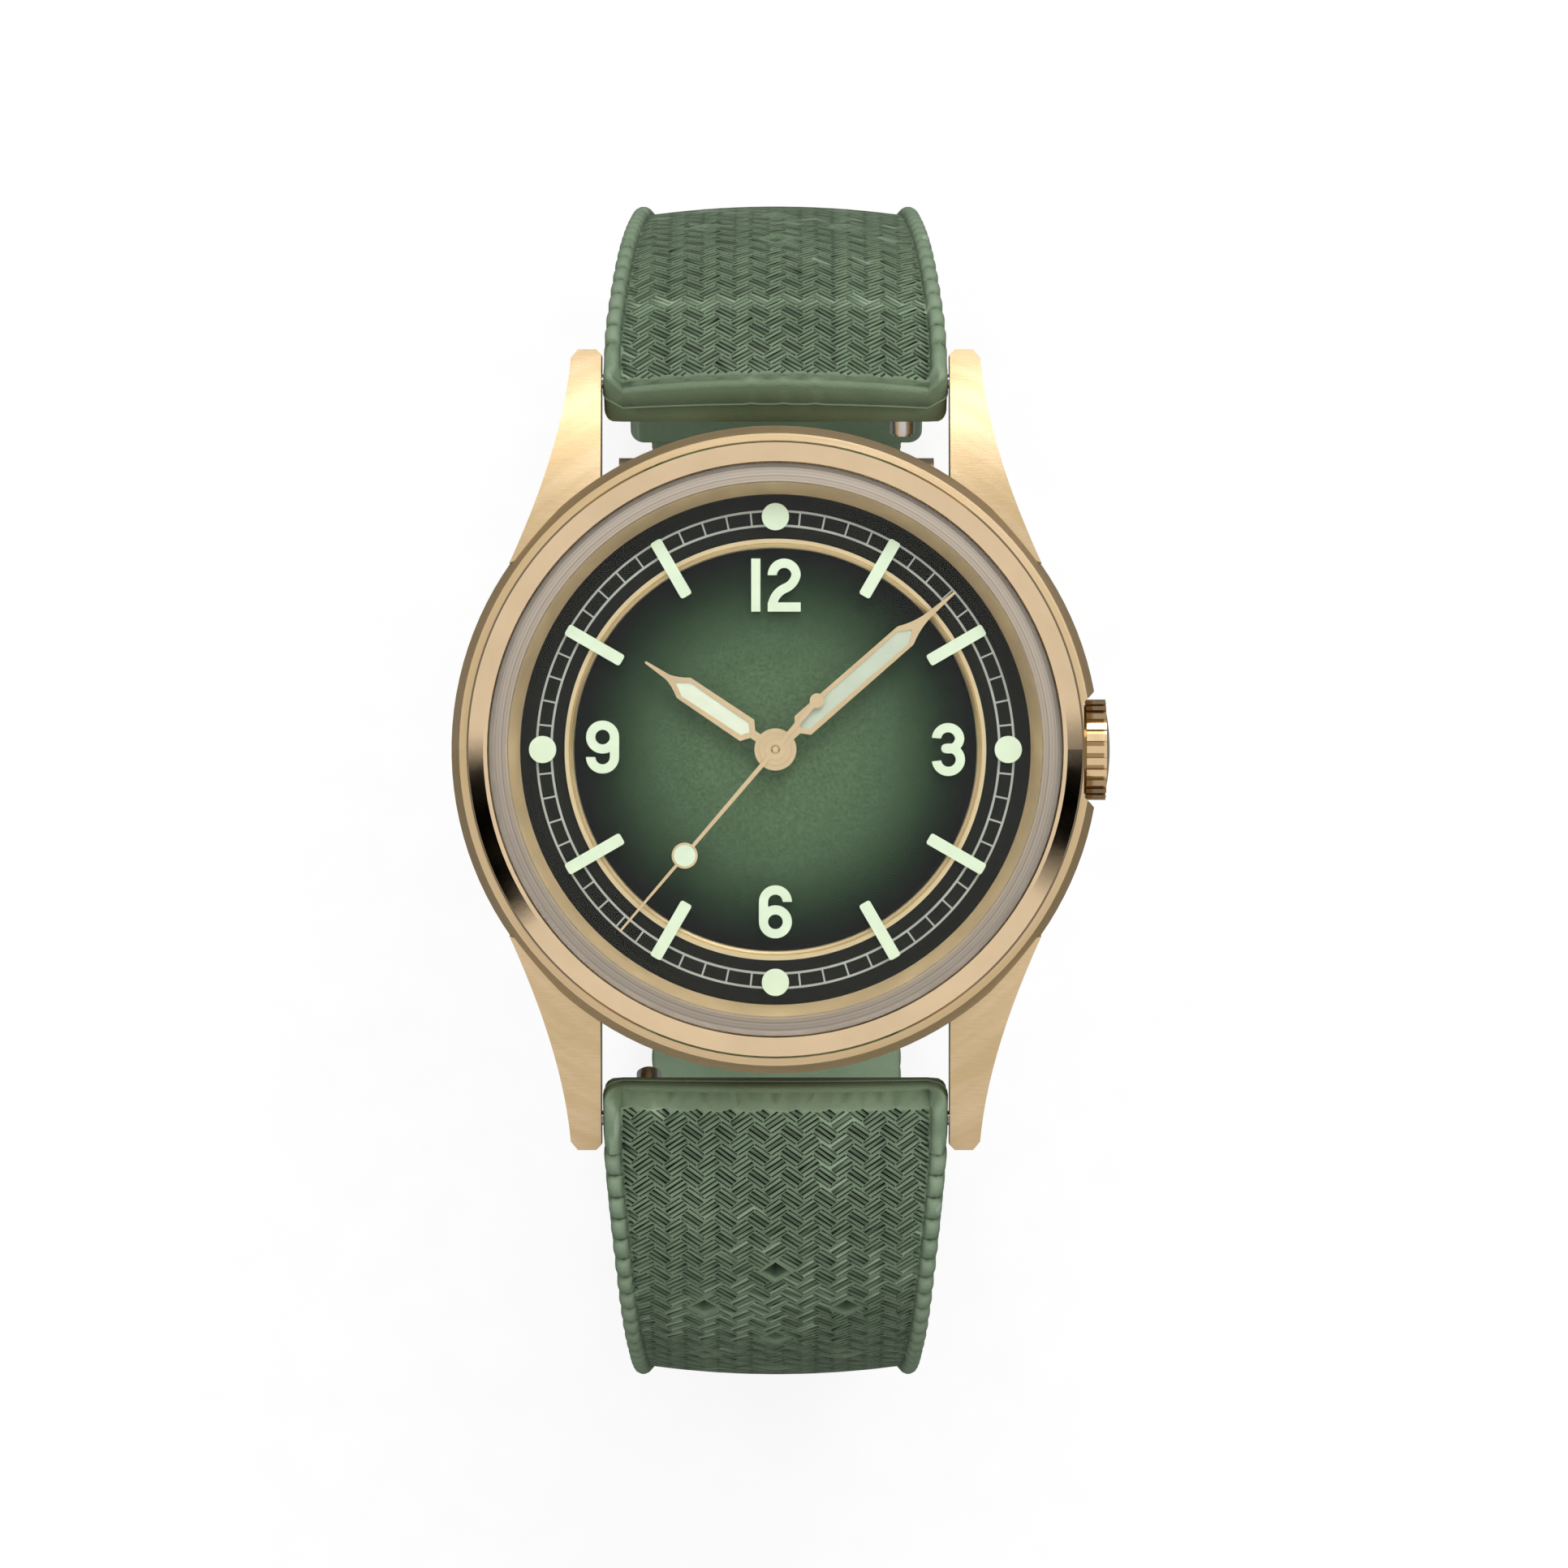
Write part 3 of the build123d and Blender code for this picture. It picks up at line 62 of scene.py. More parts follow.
class Mat:
    """A node material with a few short-cuts. Coordinates are the object's own, in metres."""

    def __init__(self, name, base=(0.5, 0.5, 0.5), metallic=0.0, rough=0.5, **sockets):
        self.m = bpy.data.materials.new(name)
        self.m.use_nodes = True
        self.t = self.m.node_tree
        self.p = self.t.nodes["Principled BSDF"]
        self.p.inputs["Base Color"].default_value = (*base, 1)
        self.p.inputs["Metallic"].default_value = metallic
        self.p.inputs["Roughness"].default_value = rough
        for key, value in sockets.items():
            self.p.inputs[key.replace("_", " ")].default_value = value
        self.coord = self.t.nodes.new("ShaderNodeTexCoord").outputs["Object"]

    def node(self, kind, **props):
        n = self.t.nodes.new("ShaderNode" + kind)
        for key, value in props.items():
            setattr(n, key, value)
        return n

    def put(self, socket, value):
        if isinstance(value, bpy.types.NodeSocket):
            self.t.links.new(value, socket)
        else:
            socket.default_value = value

    def math(self, op, a, b=0.0, c=0.0):
        n = self.node("Math", operation=op)
        for socket, value in zip(n.inputs, (a, b, c)):
            self.put(socket, value)
        return n.outputs[0]

    def xyz(self, source=None):
        n = self.node("SeparateXYZ")
        self.put(n.inputs[0], source or self.coord)
        return n.outputs

    def reach(self, a, b):
        """The length of the vector (a, b), in millimetres."""
        squares = self.math("ADD", self.math("MULTIPLY", a, a), self.math("MULTIPLY", b, b))
        return self.math("MULTIPLY", self.math("SQRT", squares), 1000)

    def radius(self):
        """Distance from the hands' axis, in millimetres."""
        x, y, _ = self.xyz()
        return self.reach(x, y)

    def scaled(self, scale, turn=(0, 0, 0), source=None):
        n = self.node("Mapping")
        self.put(n.inputs["Vector"], source or self.coord)
        n.inputs["Rotation"].default_value = [radians(a) for a in turn]
        n.inputs["Scale"].default_value = scale
        return n.outputs[0]

    def polar(self):
        """(angle, distance, height) round the hands' axis, for circular brushing."""
        x, y, z = self.xyz()
        n = self.node("CombineXYZ")
        self.put(n.inputs[0], self.math("ARCTAN2", y, x))
        self.put(n.inputs[1], self.radius())
        self.put(n.inputs[2], self.math("MULTIPLY", z, 1000))
        return n.outputs[0]

    def noise(self, vector, scale=1.0, detail=3.0, rough=0.55):
        n = self.node("TexNoise")
        self.put(n.inputs["Vector"], vector)
        n.inputs["Scale"].default_value = scale
        n.inputs["Detail"].default_value = detail
        n.inputs["Roughness"].default_value = rough
        return n.outputs[0]

    def ramp(self, fac, *stops, interpolation="LINEAR"):
        n = self.node("ValToRGB")
        n.color_ramp.interpolation = interpolation
        stops = [(place, (c, c, c) if isinstance(c, (int, float)) else c) for place, c in stops]
        while len(n.color_ramp.elements) < len(stops):
            n.color_ramp.elements.new(0.5)
        for element, (place, colour) in zip(n.color_ramp.elements, stops):
            element.position = place
            element.color = (*colour, 1)
        self.put(n.inputs[0], fac)
        return n.outputs[0]

    def mix(self, fac, a, b, kind="MIX"):
        n = self.node("Mix", data_type="RGBA", blend_type=kind)
        self.put(n.inputs[0], fac)
        for socket, value in ((n.inputs[6], a), (n.inputs[7], b)):
            self.put(socket, (*value, 1) if isinstance(value, tuple) else value)
        return n.outputs[2]

    def mottle(self, noise, base, low):
        """The base colour, down to a share of it where a noise is low."""
        return self.mix(self.ramp(noise, (0.3, 0.0), (0.7, 1.0)), tuple(low * c for c in base), base)

    def colour(self, value):
        self.put(self.p.inputs["Base Color"], value)
        return self

    def rough(self, value):
        self.put(self.p.inputs["Roughness"], value)
        return self

    def bump(self, height, depth_mm, strength=1.0):
        n = self.node("Bump")
        n.inputs["Strength"].default_value = strength
        n.inputs["Distance"].default_value = depth_mm * MM
        self.put(n.inputs["Height"], height)
        self.put(self.p.inputs["Normal"], n.outputs[0])
        return self


def srgb(r, g, b):
    """Linear colour from an everyday 0-255 one."""
    shares = (r / 255, g / 255, b / 255)
    return tuple(c / 12.92 if c <= 0.04045 else ((c + 0.055) / 1.055) ** 2.4 for c in shares)


BRONZE = srgb(226, 199, 162)
BRONZE_LOW = srgb(210, 182, 138)


def brushed_bronze():
    """Circular brushing on the shoulder and flank, slanting brushing on the lugs, finer grain over both."""
    m = Mat("brushed_bronze", BRONZE, 1.0, 0.34, Anisotropic=0.4)
    wide = m.noise(m.polar(), 0.9, 2)
    circular = m.noise(m.scaled((2.2, 26, 26), source=m.polar()), 1.0, 5, 0.7)
    x, y, z = m.xyz()
    mirrored = m.node("CombineXYZ")
    m.put(mirrored.inputs[0], m.math("ABSOLUTE", x))
    m.put(mirrored.inputs[1], m.math("ABSOLUTE", y))
    m.put(mirrored.inputs[2], z)
    slant = m.noise(m.scaled((1100, 26000, 3000), (0, 0, -38), mirrored.outputs[0]), 1.0, 5, 0.7)
    lug_tip = 20.0
    on_lug = m.ramp(m.math("DIVIDE", m.radius(), lug_tip), (0.9, 0.0), (0.93, 1.0))
    streak = m.mix(on_lug, circular, slant)
    worn = m.noise(m.scaled((220, 220, 220)), 1.0, 4)
    low = m.mix(m.ramp(wide, (0.35, 0.0), (0.7, 1.0)), BRONZE_LOW, BRONZE)
    m.colour(m.mix(m.ramp(streak, (0.3, 0.25), (0.72, 1.0)), m.mix(0.75, low, srgb(176, 154, 118)), low))
    m.rough(m.ramp(m.mix(0.6, worn, streak), (0.25, 0.27), (0.75, 0.46)))
    return m.bump(streak, 0.012, 0.6).m


def polished_bronze(name="polished_bronze", base=BRONZE, rough=0.07, hairline=0.003):
    m = Mat(name, base, 1.0, rough)
    smear = m.noise(m.scaled((300, 300, 300)), 1.0, 4)
    fine = m.noise(m.scaled((2500, 2500, 2500)), 1.0, 3)
    m.colour(m.mottle(smear, base, 0.9))
    m.rough(m.ramp(smear, (0.3, rough), (0.75, rough + 0.07)))
    return m.bump(fine, hairline, 0.4).m


def steel(name="polished_steel", base=(0.6, 0.6, 0.61), rough=0.16, streaks=(200, 6000, 6000)):
    m = Mat(name, base, 1.0, rough)
    line = m.noise(m.scaled(streaks), 1.0, 4, 0.65)
    spot = m.noise(m.scaled((400, 400, 400)), 1.0, 3)
    m.colour(m.mottle(spot, base, 0.84))
    m.rough(m.ramp(line, (0.3, rough), (0.7, rough + 0.16)))
    return m.bump(line, 0.005, 0.5).m


def circular_steel(name, base, rough=0.28):
    """Metal with turned lines round the hands' axis."""
    m = Mat(name, base, 1.0, rough, Anisotropic=0.5)
    line = m.noise(m.scaled((1.6, 22, 22), source=m.polar()), 1.0, 5, 0.7)
    m.colour(m.mottle(line, base, 0.82))
    m.rough(m.ramp(line, (0.3, rough - 0.05), (0.7, rough + 0.12)))
    return m.bump(line, 0.008, 0.6).m


def striped_plate(name, base):
    """Plated bridges with the broad waves of a decorated movement."""
    m = Mat(name, base, 1.0, 0.3)
    x, y, _ = m.xyz()
    wave_width = 0.9
    slanted = m.math("ADD", m.math("MULTIPLY", x, 0.8), m.math("MULTIPLY", y, 0.6))
    wave = m.math("PINGPONG", m.math("MULTIPLY", slanted, 1000), wave_width)
    grain = m.noise(m.scaled((9000, 900, 9000), (0, 0, 37)), 1.0, 4, 0.7)
    light = m.ramp(m.math("DIVIDE", wave, wave_width), (0.0, 0.62), (1.0, 1.0))
    m.colour(m.mix(1.0, m.mottle(grain, base, 0.85), light, "MULTIPLY"))
    m.rough(m.ramp(grain, (0.3, 0.22), (0.7, 0.4)))
    return m.bump(m.math("ADD", grain, m.math("MULTIPLY", wave, 2.0)), 0.02, 0.5).m


def green_dial():
    """Green that darkens to nearly black at the dial's edge, with a fine grain."""
    m = Mat("green_dial", srgb(90, 113, 83), 0.0, 0.45, Specular_IOR_Level=0.08)
    ramp_radius = 12.0
    r = m.math("DIVIDE", m.radius(), ramp_radius)
    stops = (
        (0.0, srgb(90, 114, 83)), (0.33, srgb(87, 111, 80)), (0.54, srgb(75, 98, 71)),
        (0.617, srgb(64, 86, 60)), (0.69, srgb(50, 72, 47)), (0.775, srgb(33, 52, 33)),
        (0.85, srgb(18, 32, 18)), (0.925, srgb(5, 9, 6)), (1.0, srgb(3, 5, 3)),
    )
    lift = 1.13
    grain = m.noise(m.scaled((6800, 6800, 6800)), 1.0, 2)
    cloud = m.noise(m.scaled((500, 500, 500)), 1.0, 3)
    base = m.mix(1.0, m.ramp(r, *stops), (lift, lift, lift), "MULTIPLY")
    base = m.mix(0.65, base, m.ramp(grain, (0.3, 0.35), (0.7, 1.0)), "MULTIPLY")
    m.colour(m.mix(0.12, base, m.ramp(cloud, (0.35, 0.7), (0.65, 1.0)), "MULTIPLY"))
    m.rough(m.ramp(grain, (0.3, 0.36), (0.7, 0.5)))
    return m.bump(grain, 0.01, 0.5).m


def black_ring():
    """The hour ring: black with faint turned lines."""
    m = Mat("black_ring", srgb(22, 23, 18), 0.0, 0.4, Specular_IOR_Level=0.06)
    line = m.noise(m.scaled((0.8, 16, 16), source=m.polar()), 1.0, 4, 0.6)
    m.colour(m.mix(m.ramp(line, (0.35, 0.0), (0.65, 1.0)), srgb(16, 17, 13), srgb(28, 29, 23)))
    m.rough(m.ramp(line, (0.3, 0.34), (0.7, 0.5)))
    return m.bump(line, 0.006, 0.5).m


def lume(name, tint):
    """Matt, chalky lume."""
    m = Mat(name, tint, 0.0, 0.62)
    grain = m.noise(m.scaled((7000, 7000, 7000)), 1.0, 4, 0.6)
    cloud = m.noise(m.scaled((900, 900, 900)), 1.0, 3)
    m.colour(m.mottle(cloud, tint, 0.93))
    m.rough(m.ramp(grain, (0.3, 0.55), (0.7, 0.72)))
    return m.bump(grain, 0.008, 0.5).m


def plain(name, base, metallic, rough, grain_mm, depth):
    """A moulded, printed or turned finish: mottled in tone and roughness, with a fine grain."""
    m = Mat(name, base, metallic, rough)
    grain = m.noise(m.scaled((1000 / grain_mm,) * 3), 1.0, 3)
    cloud = m.noise(m.scaled((350, 350, 350)), 1.0, 3)
    m.colour(m.mottle(cloud, base, 0.8))
    m.rough(m.ramp(grain, (0.3, rough - 0.06), (0.7, rough + 0.08)))
    return m.bump(grain, depth, 0.5).m


def rubber():
    """Green moulded rubber, with painted shade in its grooves, holes and notches, a painted highlight on its
    raised edges, and a fine mould grain.
    """
    m = Mat("green_rubber", srgb(104, 122, 98), 0.0, 0.55, Specular_IOR_Level=0.18)
    grain = m.noise(m.scaled((6500, 6500, 6500)), 1.0, 3, 0.6)
    cloud = m.noise(m.scaled((160, 160, 160)), 1.0, 4)
    tone = m.mix(m.ramp(cloud, (0.3, 0.0), (0.7, 1.0)), srgb(112, 132, 106), srgb(132, 152, 125))
    point = m.node("NewGeometry").outputs["Pointiness"]
    # Painted shade: the tone is darkened where pointiness shows the surface is sunk.
    painted_hollow_shade = m.ramp(point, (0.44, 0.05), (0.497, 1.0))
    # Painted highlight: raised edges are lightened towards a pale green.
    edge = m.ramp(point, (0.52, 0.0), (0.6, 1.0))
    tone = m.mix(1.0, tone, painted_hollow_shade, "MULTIPLY")
    m.colour(m.mix(m.math("MULTIPLY", edge, 0.6), tone, srgb(172, 190, 166)))
    m.rough(m.ramp(grain, (0.3, 0.46), (0.7, 0.66)))
    return m.bump(grain, 0.045, 0.9).m


def painted_bevel_reflection(m, bevel_from):
    """The crystal's bevel beyond a radius in millimetres, with a painted reflection: a beige band with fine
    rings on its upward faces.
    """
    r = m.radius()
    turned = m.node("CombineXYZ")
    m.put(turned.inputs[0], m.math("MULTIPLY", r, 7.0))
    ring = m.noise(turned.outputs[0], 1.0, 3, 0.6)
    # Painted reflection: a beige shader that stands in for the light the crystal's edge reflects.
    bevel_reflection_shader = m.node("BsdfPrincipled")
    bevel_reflection_shader.inputs["Roughness"].default_value = 0.4
    m.put(bevel_reflection_shader.inputs["Base Color"], m.ramp(ring, (0.35, srgb(164, 148, 128)), (0.65, srgb(214, 203, 190))))
    mix = m.node("MixShader")
    upward = m.ramp(m.xyz(m.node("TexCoord").outputs["Normal"])[2], (0.15, 0.0), (0.4, 1.0))
    beyond = m.ramp(m.math("SUBTRACT", r, bevel_from), (0.0, 0.0), (0.12, 0.82))
    m.put(mix.inputs[0], m.math("MULTIPLY", upward, beyond))
    m.put(mix.inputs[1], m.p.outputs[0])
    m.put(mix.inputs[2], bevel_reflection_shader.outputs[0])
    return mix.outputs[0]


def clear(name, tint, rough=0.0, ior=1.5, gloss=0.5, bevel_from=0.0):
    """Glass that casts hardly any shadow on what is below it."""
    m = Mat(name, tint, 0.0, rough, Transmission_Weight=1.0, IOR=ior, Specular_IOR_Level=gloss)
    smear = m.noise(m.scaled((250, 250, 250)), 1.0, 3)
    m.rough(m.ramp(smear, (0.3, rough), (0.8, rough + 0.015)))
    see = m.node("BsdfTransparent")
    see.inputs["Color"].default_value = (*[0.5 + 0.5 * c for c in tint], 1)
    body = m.p.outputs[0]
    # Where a bevel radius is given, the crystal's edge gets the painted reflection.
    if bevel_from:
        body = painted_bevel_reflection(m, bevel_from)
    mix = m.node("MixShader")
    m.put(mix.inputs[0], m.node("LightPath").outputs["Is Shadow Ray"])
    m.put(mix.inputs[1], body)
    m.put(mix.inputs[2], see.outputs[0])
    m.put(m.t.nodes["Material Output"].inputs["Surface"], mix.outputs[0])
    return m.m


def crown_bronze():
    """Polished on the crown's ridges and its outer corner, with painted shade darkening it between the
    ridges. Distances in millimetres.
    """
    m = Mat("crown_bronze", BRONZE, 1.0, 0.16)
    low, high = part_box("crown")
    stem_z = (low[2] + high[2]) / 2
    rim = (high[2] - low[2]) / 2 / MM
    polished_end = 0.35
    x, y, z = m.xyz()
    down = m.math("SUBTRACT", rim, m.reach(y, m.math("SUBTRACT", z, stem_z)))
    x_in = m.math("SUBTRACT", high[0] / MM - polished_end, m.math("MULTIPLY", x, 1000))
    # Painted shade: brown mixed in deeper than the ridges' tops, away from the polished outer end.
    painted_flute_shade = m.math("MULTIPLY", m.ramp(down, (0.02, 0.0), (0.2, 1.0)), m.ramp(x_in, (0.0, 0.0), (0.1, 1.0)))
    smear = m.noise(m.scaled((700, 700, 700)), 1.0, 3)
    m.colour(m.mix(painted_flute_shade, m.mix(smear, BRONZE_LOW, BRONZE), srgb(132, 102, 60)))
    m.rough(m.ramp(smear, (0.3, 0.14), (0.7, 0.24)))
    return m.bump(smear, 0.004, 0.4).m


LUME = srgb(221, 235, 206)
mats = {
    "case": brushed_bronze(),
    "gold": polished_bronze(),
    "crown": crown_bronze(),
    "hand": polished_bronze("rose_gold_hand", srgb(224, 198, 158), 0.17, 0.004),
    "inner": polished_bronze("inner_ring_gold", srgb(222, 200, 158), 0.34, 0.004),
    "rehaut": plain("rehaut_satin_gold", srgb(236, 206, 158), 0.3, 0.5, 0.1, 0.004),
    "crystal": clear("crystal_glass", (0.97, 0.985, 0.98), 0.0, 1.2, 0.04, 15.15),
    "ruby": clear("ruby_jewel", (0.85, 0.05, 0.16), 0.03, 1.76),
    "gasket": plain("pale_gasket", srgb(168, 158, 146), 0.0, 0.5, 0.2, 0.01),
    "rubber": rubber(),
    "dial": green_dial(),
    "ring": black_ring(),
    "print": plain("grey_print", srgb(176, 178, 168), 0.0, 0.55, 0.05, 0.002),
    "lume": lume("marker_lume", LUME),
    "hour_lume": lume("hour_hand_lume_fill", srgb(226, 232, 208)),
    "minute_lume": lume("minute_hand_lume_fill", srgb(197, 205, 184)),
    "steel": steel(),
    "back": circular_steel("case_back_steel", (0.58, 0.57, 0.56)),
    "plate": striped_plate("nickel_plate", (0.66, 0.65, 0.61)),
    "gilt": circular_steel("gilt_brass", srgb(226, 188, 110), 0.24),
    "blued": steel("blued_steel", (0.05, 0.1, 0.32), 0.14),
    "tungsten": circular_steel("tungsten_weight", (0.34, 0.33, 0.33), 0.32),
    "holder": plain("holder_plastic", srgb(52, 52, 50), 0.0, 0.5, 0.1, 0.01),
}
finish = {
    "mid_case": "case", "bezel": "gold", "crystal": "crystal", "crystal_gasket": "gasket",
    "rehaut_ring": "rehaut", "case_back": "back", "case_back_gasket": "gasket", "crown_tube": "steel",
    "movement_holder": "holder", "dial": "dial", "inner_dial_ring": "inner", "chapter_ring": "ring",
    "minute_track": "print", "hour_markers": "lume", "hour_numerals": "lume", "hour_hand": "hand",
    "hour_hand_lume": "hour_lume", "minute_hand": "hand", "minute_hand_lume": "minute_lume",
    "seconds_hand": "hand", "seconds_hand_lume": "lume", "crown": "crown", "crown_stem": "steel",
    "setting_lever": "steel", "winding_pinion": "steel", "main_plate": "plate", "barrel_bridge": "plate",
    "train_bridge": "plate", "balance_cock": "plate", "bridge_screws": "blued", "bearing_jewels": "ruby",
    "mainspring_barrel": "gilt", "mainspring": "steel", "barrel_arbor": "steel", "ratchet_wheel": "back",
    "crown_wheel": "back", "centre_wheel": "gilt", "cannon_pinion": "steel", "third_wheel": "gilt",
    "fourth_wheel": "gilt", "escape_wheel": "steel", "pallet_fork": "steel", "balance_wheel": "gilt",
    "hairspring": "blued", "rotor": "plate", "rotor_weight": "tungsten", "rotor_bearing": "steel",
    "minute_wheel": "gilt", "hour_wheel": "gilt", "spring_bar_12": "steel", "spring_bar_6": "steel",
    "quick_release_12": "steel", "quick_release_6": "steel", "buckle_frame": "gold",
    "buckle_tongue": "gold", "buckle_bar": "steel", "keeper_fixed": "rubber", "keeper_free": "rubber",
    "strap_short": "rubber", "strap_long": "rubber",
}
for name, key in finish.items():
    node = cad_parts[name]
    if not node.material_slots:
        node.data.materials.append(mats[key])
    for material_slot in node.material_slots:
        material_slot.material = mats[key]

# ------------------------------------------------------------------ strap
# Each arm's outer face seen from the side: the same straight runs and arcs as its CAD solid. Millimetres.
BAR_Y, BAR_Z = 21.2, 2.6
END_BACK, UNDER_BAR, END_T, TAIL_T, TAPER = 2.2, 1.2, 4.3, 2.4, 34.0
WIDTHS = ((0, 19.7), (4, 19.6), (12, 18.3), (20, 17.2), (34, 16.0))
SHORT = dict(
    tilt=36, lead=3.1, bend_r=18, bend_to=70, side_r=42, drop=10, under_r=47.8, under_to=135, tail=0,
    first_hole=13.2, last_hole=62.0, crown=0.78, round_end=0.25, sign=1,
    weave_from=0.33, smooth_to=2.9, step=0.16,
)
LONG = dict(
    tilt=12, lead=5.5, bend_r=14, bend_to=67, side_r=24.5, drop=27.69, under_r=22, under_to=180, tail=19,
    first_hole=11.0, last_hole=103.0, crown=0.6, round_end=1.3, sign=-1,
    weave_from=0.9, smooth_to=3.6, step=0.04,
)
HOLE_PITCH, HOLE_X, HOLE_W, HOLE_L = 3.0, 4.1, 1.5, 1.2
CELL_X, CELL_S = 1.9, 1.3
GROOVE_PITCH, GROOVE_SLANT, GROOVE_HALF_W, GROOVE_DEPTH = 0.27, 35, 0.064, 0.2
BEAD_W, BEAD_LOW, NOTCH_PITCH, NOTCH_DEPTH = 0.95, 0.55, 1.34, 0.36
RIM_INSET, HOLE_SINK, TAIL_ROUND = 0.3, 0.2, 8
# How the edge bulges from the outer face's rim to the underside's: (outward, share of the way down, shift).
EDGE_PROFILE = (
    (0.15, 0.0, 0.08), (0.25, 0.0, 0.22), (0.3, 0.0, 0.42), (0.3, 0.5, -0.06), (0.37, 0.5, -0.02),
    (0.37, 0.5, 0.02), (0.3, 0.5, 0.06), (0.29, 0.9, -0.05), (0.2, 1.0, -0.12),
)


def runs(arm):
    """The straight runs and arcs of an arm's outer face, as (length, radius or None, angle at its start)."""
    tilt, bend, under = arm["tilt"], arm["bend_to"], arm["under_to"]
    return [
        (arm["lead"], None, tilt),
        (arm["bend_r"] * radians(bend - tilt), arm["bend_r"], tilt),
        (arm["side_r"] * radians(90 - bend), arm["side_r"], bend),
        (arm["drop"], None, 90),
        (arm["under_r"] * radians(under - 90), arm["under_r"], 90),
        (arm["tail"], None, under),
    ]


def length(arm):
    return sum(run[0] for run in runs(arm))


def thickness(s):
    return END_T + (TAIL_T - END_T) * max(0, min(s / TAPER, 1))


def half_width(s):
    for (s0, w0), (s1, w1) in zip(WIDTHS, WIDTHS[1:]):
        if s <= s1:
            return (w0 + (w1 - w0) * max(0, s - s0) / (s1 - s0)) / 2
    return WIDTHS[-1][1] / 2


def place(arm, s, x, depth):
    """The point at s along an arm and x across it, depth below its outer face, in metres."""
    a = radians(arm["tilt"])
    over = END_T - UNDER_BAR
    out = BAR_Y - END_BACK * cos(a) + over * sin(a)
    height = BAR_Z + END_BACK * sin(a) + over * cos(a)
    left, angle = s, a
    for run_length, radius, start in runs(arm):
        step = min(left, run_length)
        angle = radians(start)
        if radius and step > 0:
            angle += step / radius
            out += radius * (sin(angle) - sin(radians(start)))
            height += radius * (cos(angle) - cos(radians(start)))
        else:
            out += step * cos(angle)
            height -= step * sin(angle)
        left -= step
        if left <= 0:
            break
    out -= depth * sin(angle)
    height -= depth * cos(angle)
    return Vector((arm["sign"] * x, arm["sign"] * out, height)) * MM


def notch(arm, s):
    """0 on a bead's pillow, 1 in the notch between two."""
    if s < arm["smooth_to"]:
        return 0.0
    q = ((s - arm["smooth_to"]) / NOTCH_PITCH) % 1.0
    return max(0.0, 1 - sin(pi * q) ** 0.55) if 0 < q < 1 else 1.0


def tail_half(arm, s):
    """Half the width, rounded off at the end of the long arm's tail."""
    w = half_width(s)
    if arm is LONG:
        past = (s - (length(arm) - TAIL_ROUND)) / TAIL_ROUND
        if past > 0:
            w *= sqrt(max(0.0, 1 - past**2))
    return w


def depth_at(arm, s, x):
    """How far the moulded surface lies below the arm's plain outer face."""
    w = tail_half(arm, s)
    edge_in = w - abs(x)
    field_half = max(w - BEAD_W, 0.01)
    sink = 0.5 + (arm["crown"] - 0.5) * max(0.0, 1 - s / 12)
    field = 0.05 + sink * min(1.0, abs(x) / max(half_width(s) - BEAD_W, 0.01)) ** 2
    if arm is LONG and s > length(arm) - TAIL_ROUND:
        past = (s - (length(arm) - TAIL_ROUND)) / TAIL_ROUND
        field = max(field, 0.05 + sink * past**2)
    if edge_in >= BEAD_W:
        return field
    t = edge_in / BEAD_W
    bulge = sqrt(max(0.0, 1 - (2 * t - 1) ** 2))
    low = BEAD_LOW if t < 0.5 else field
    pillow = 0.06 + (low - 0.06) * (1 - bulge)
    return pillow + NOTCH_DEPTH * notch(arm, s) * bulge**0.7


def holes(arm):
    """Where the vent holes are, as (s, x): single holes and pairs take turns."""
    places = []
    k, s = 0, arm["first_hole"]
    while s <= arm["last_hole"] + 1e-6:
        places += [(s, x) for x in ((-HOLE_X, HOLE_X) if k % 2 else (0.0,))]
        k, s = k + 1, s + HOLE_PITCH
    return places


def in_hole(places, s, x, grow=0.0):
    return any(abs(s - hs) / (HOLE_L / 2 + grow) + abs(x - hx) / (HOLE_W / 2 + grow) < 1 for hs, hx in places)


def outline(arm, s_end):
    """The plan, a little inside its real edge, as a closed loop of (s, x), and its right side alone."""
    inset, corner = RIM_INSET, 0.35
    right = []
    for k in (3, 2, 1, 0):
        a = radians(90 * k / 4)
        right.append((inset + corner * (1 - sin(a)), half_width(0) - inset - corner * (1 - cos(a))))
    right += [(s, tail_half(arm, s) - inset) for s in side_rows(arm, s_end) if s > inset + corner + 0.05]
    if arm is LONG:
        right = [(s, x) for s, x in right if x > 0.5] + [(s_end, 1.0)]
        across = [(s_end, 0.0)]
    else:
        last = half_width(s_end) - inset
        right += [(s_end, last)]
        across = [(s_end, last * (1 - k / 8)) for k in range(1, 16)]
    left = [(s, -x) for s, x in right[::-1]]
    first = half_width(0) - inset - corner
    steps = 40
    front = [(inset, -first + 2 * first * k / steps) for k in range(1, steps)]
    return right + across + left + front, [(inset, first)] + right


def side_rows(arm, s_end):
    """Stations along the strap's edge, close together round each notch."""
    start = arm["smooth_to"]
    rows = [s for s in (0.7, 1.0, 1.4, 1.8, 2.3, 2.8) if s < start - 0.2]
    while start < s_end - 0.2:
        stations = [start + NOTCH_PITCH * q for q in (0.0, 0.06, 0.16, 0.33, 0.5, 0.67, 0.84, 0.94)]
        rows += [s for s in stations if s < s_end - 0.1]
        start += NOTCH_PITCH
    return rows


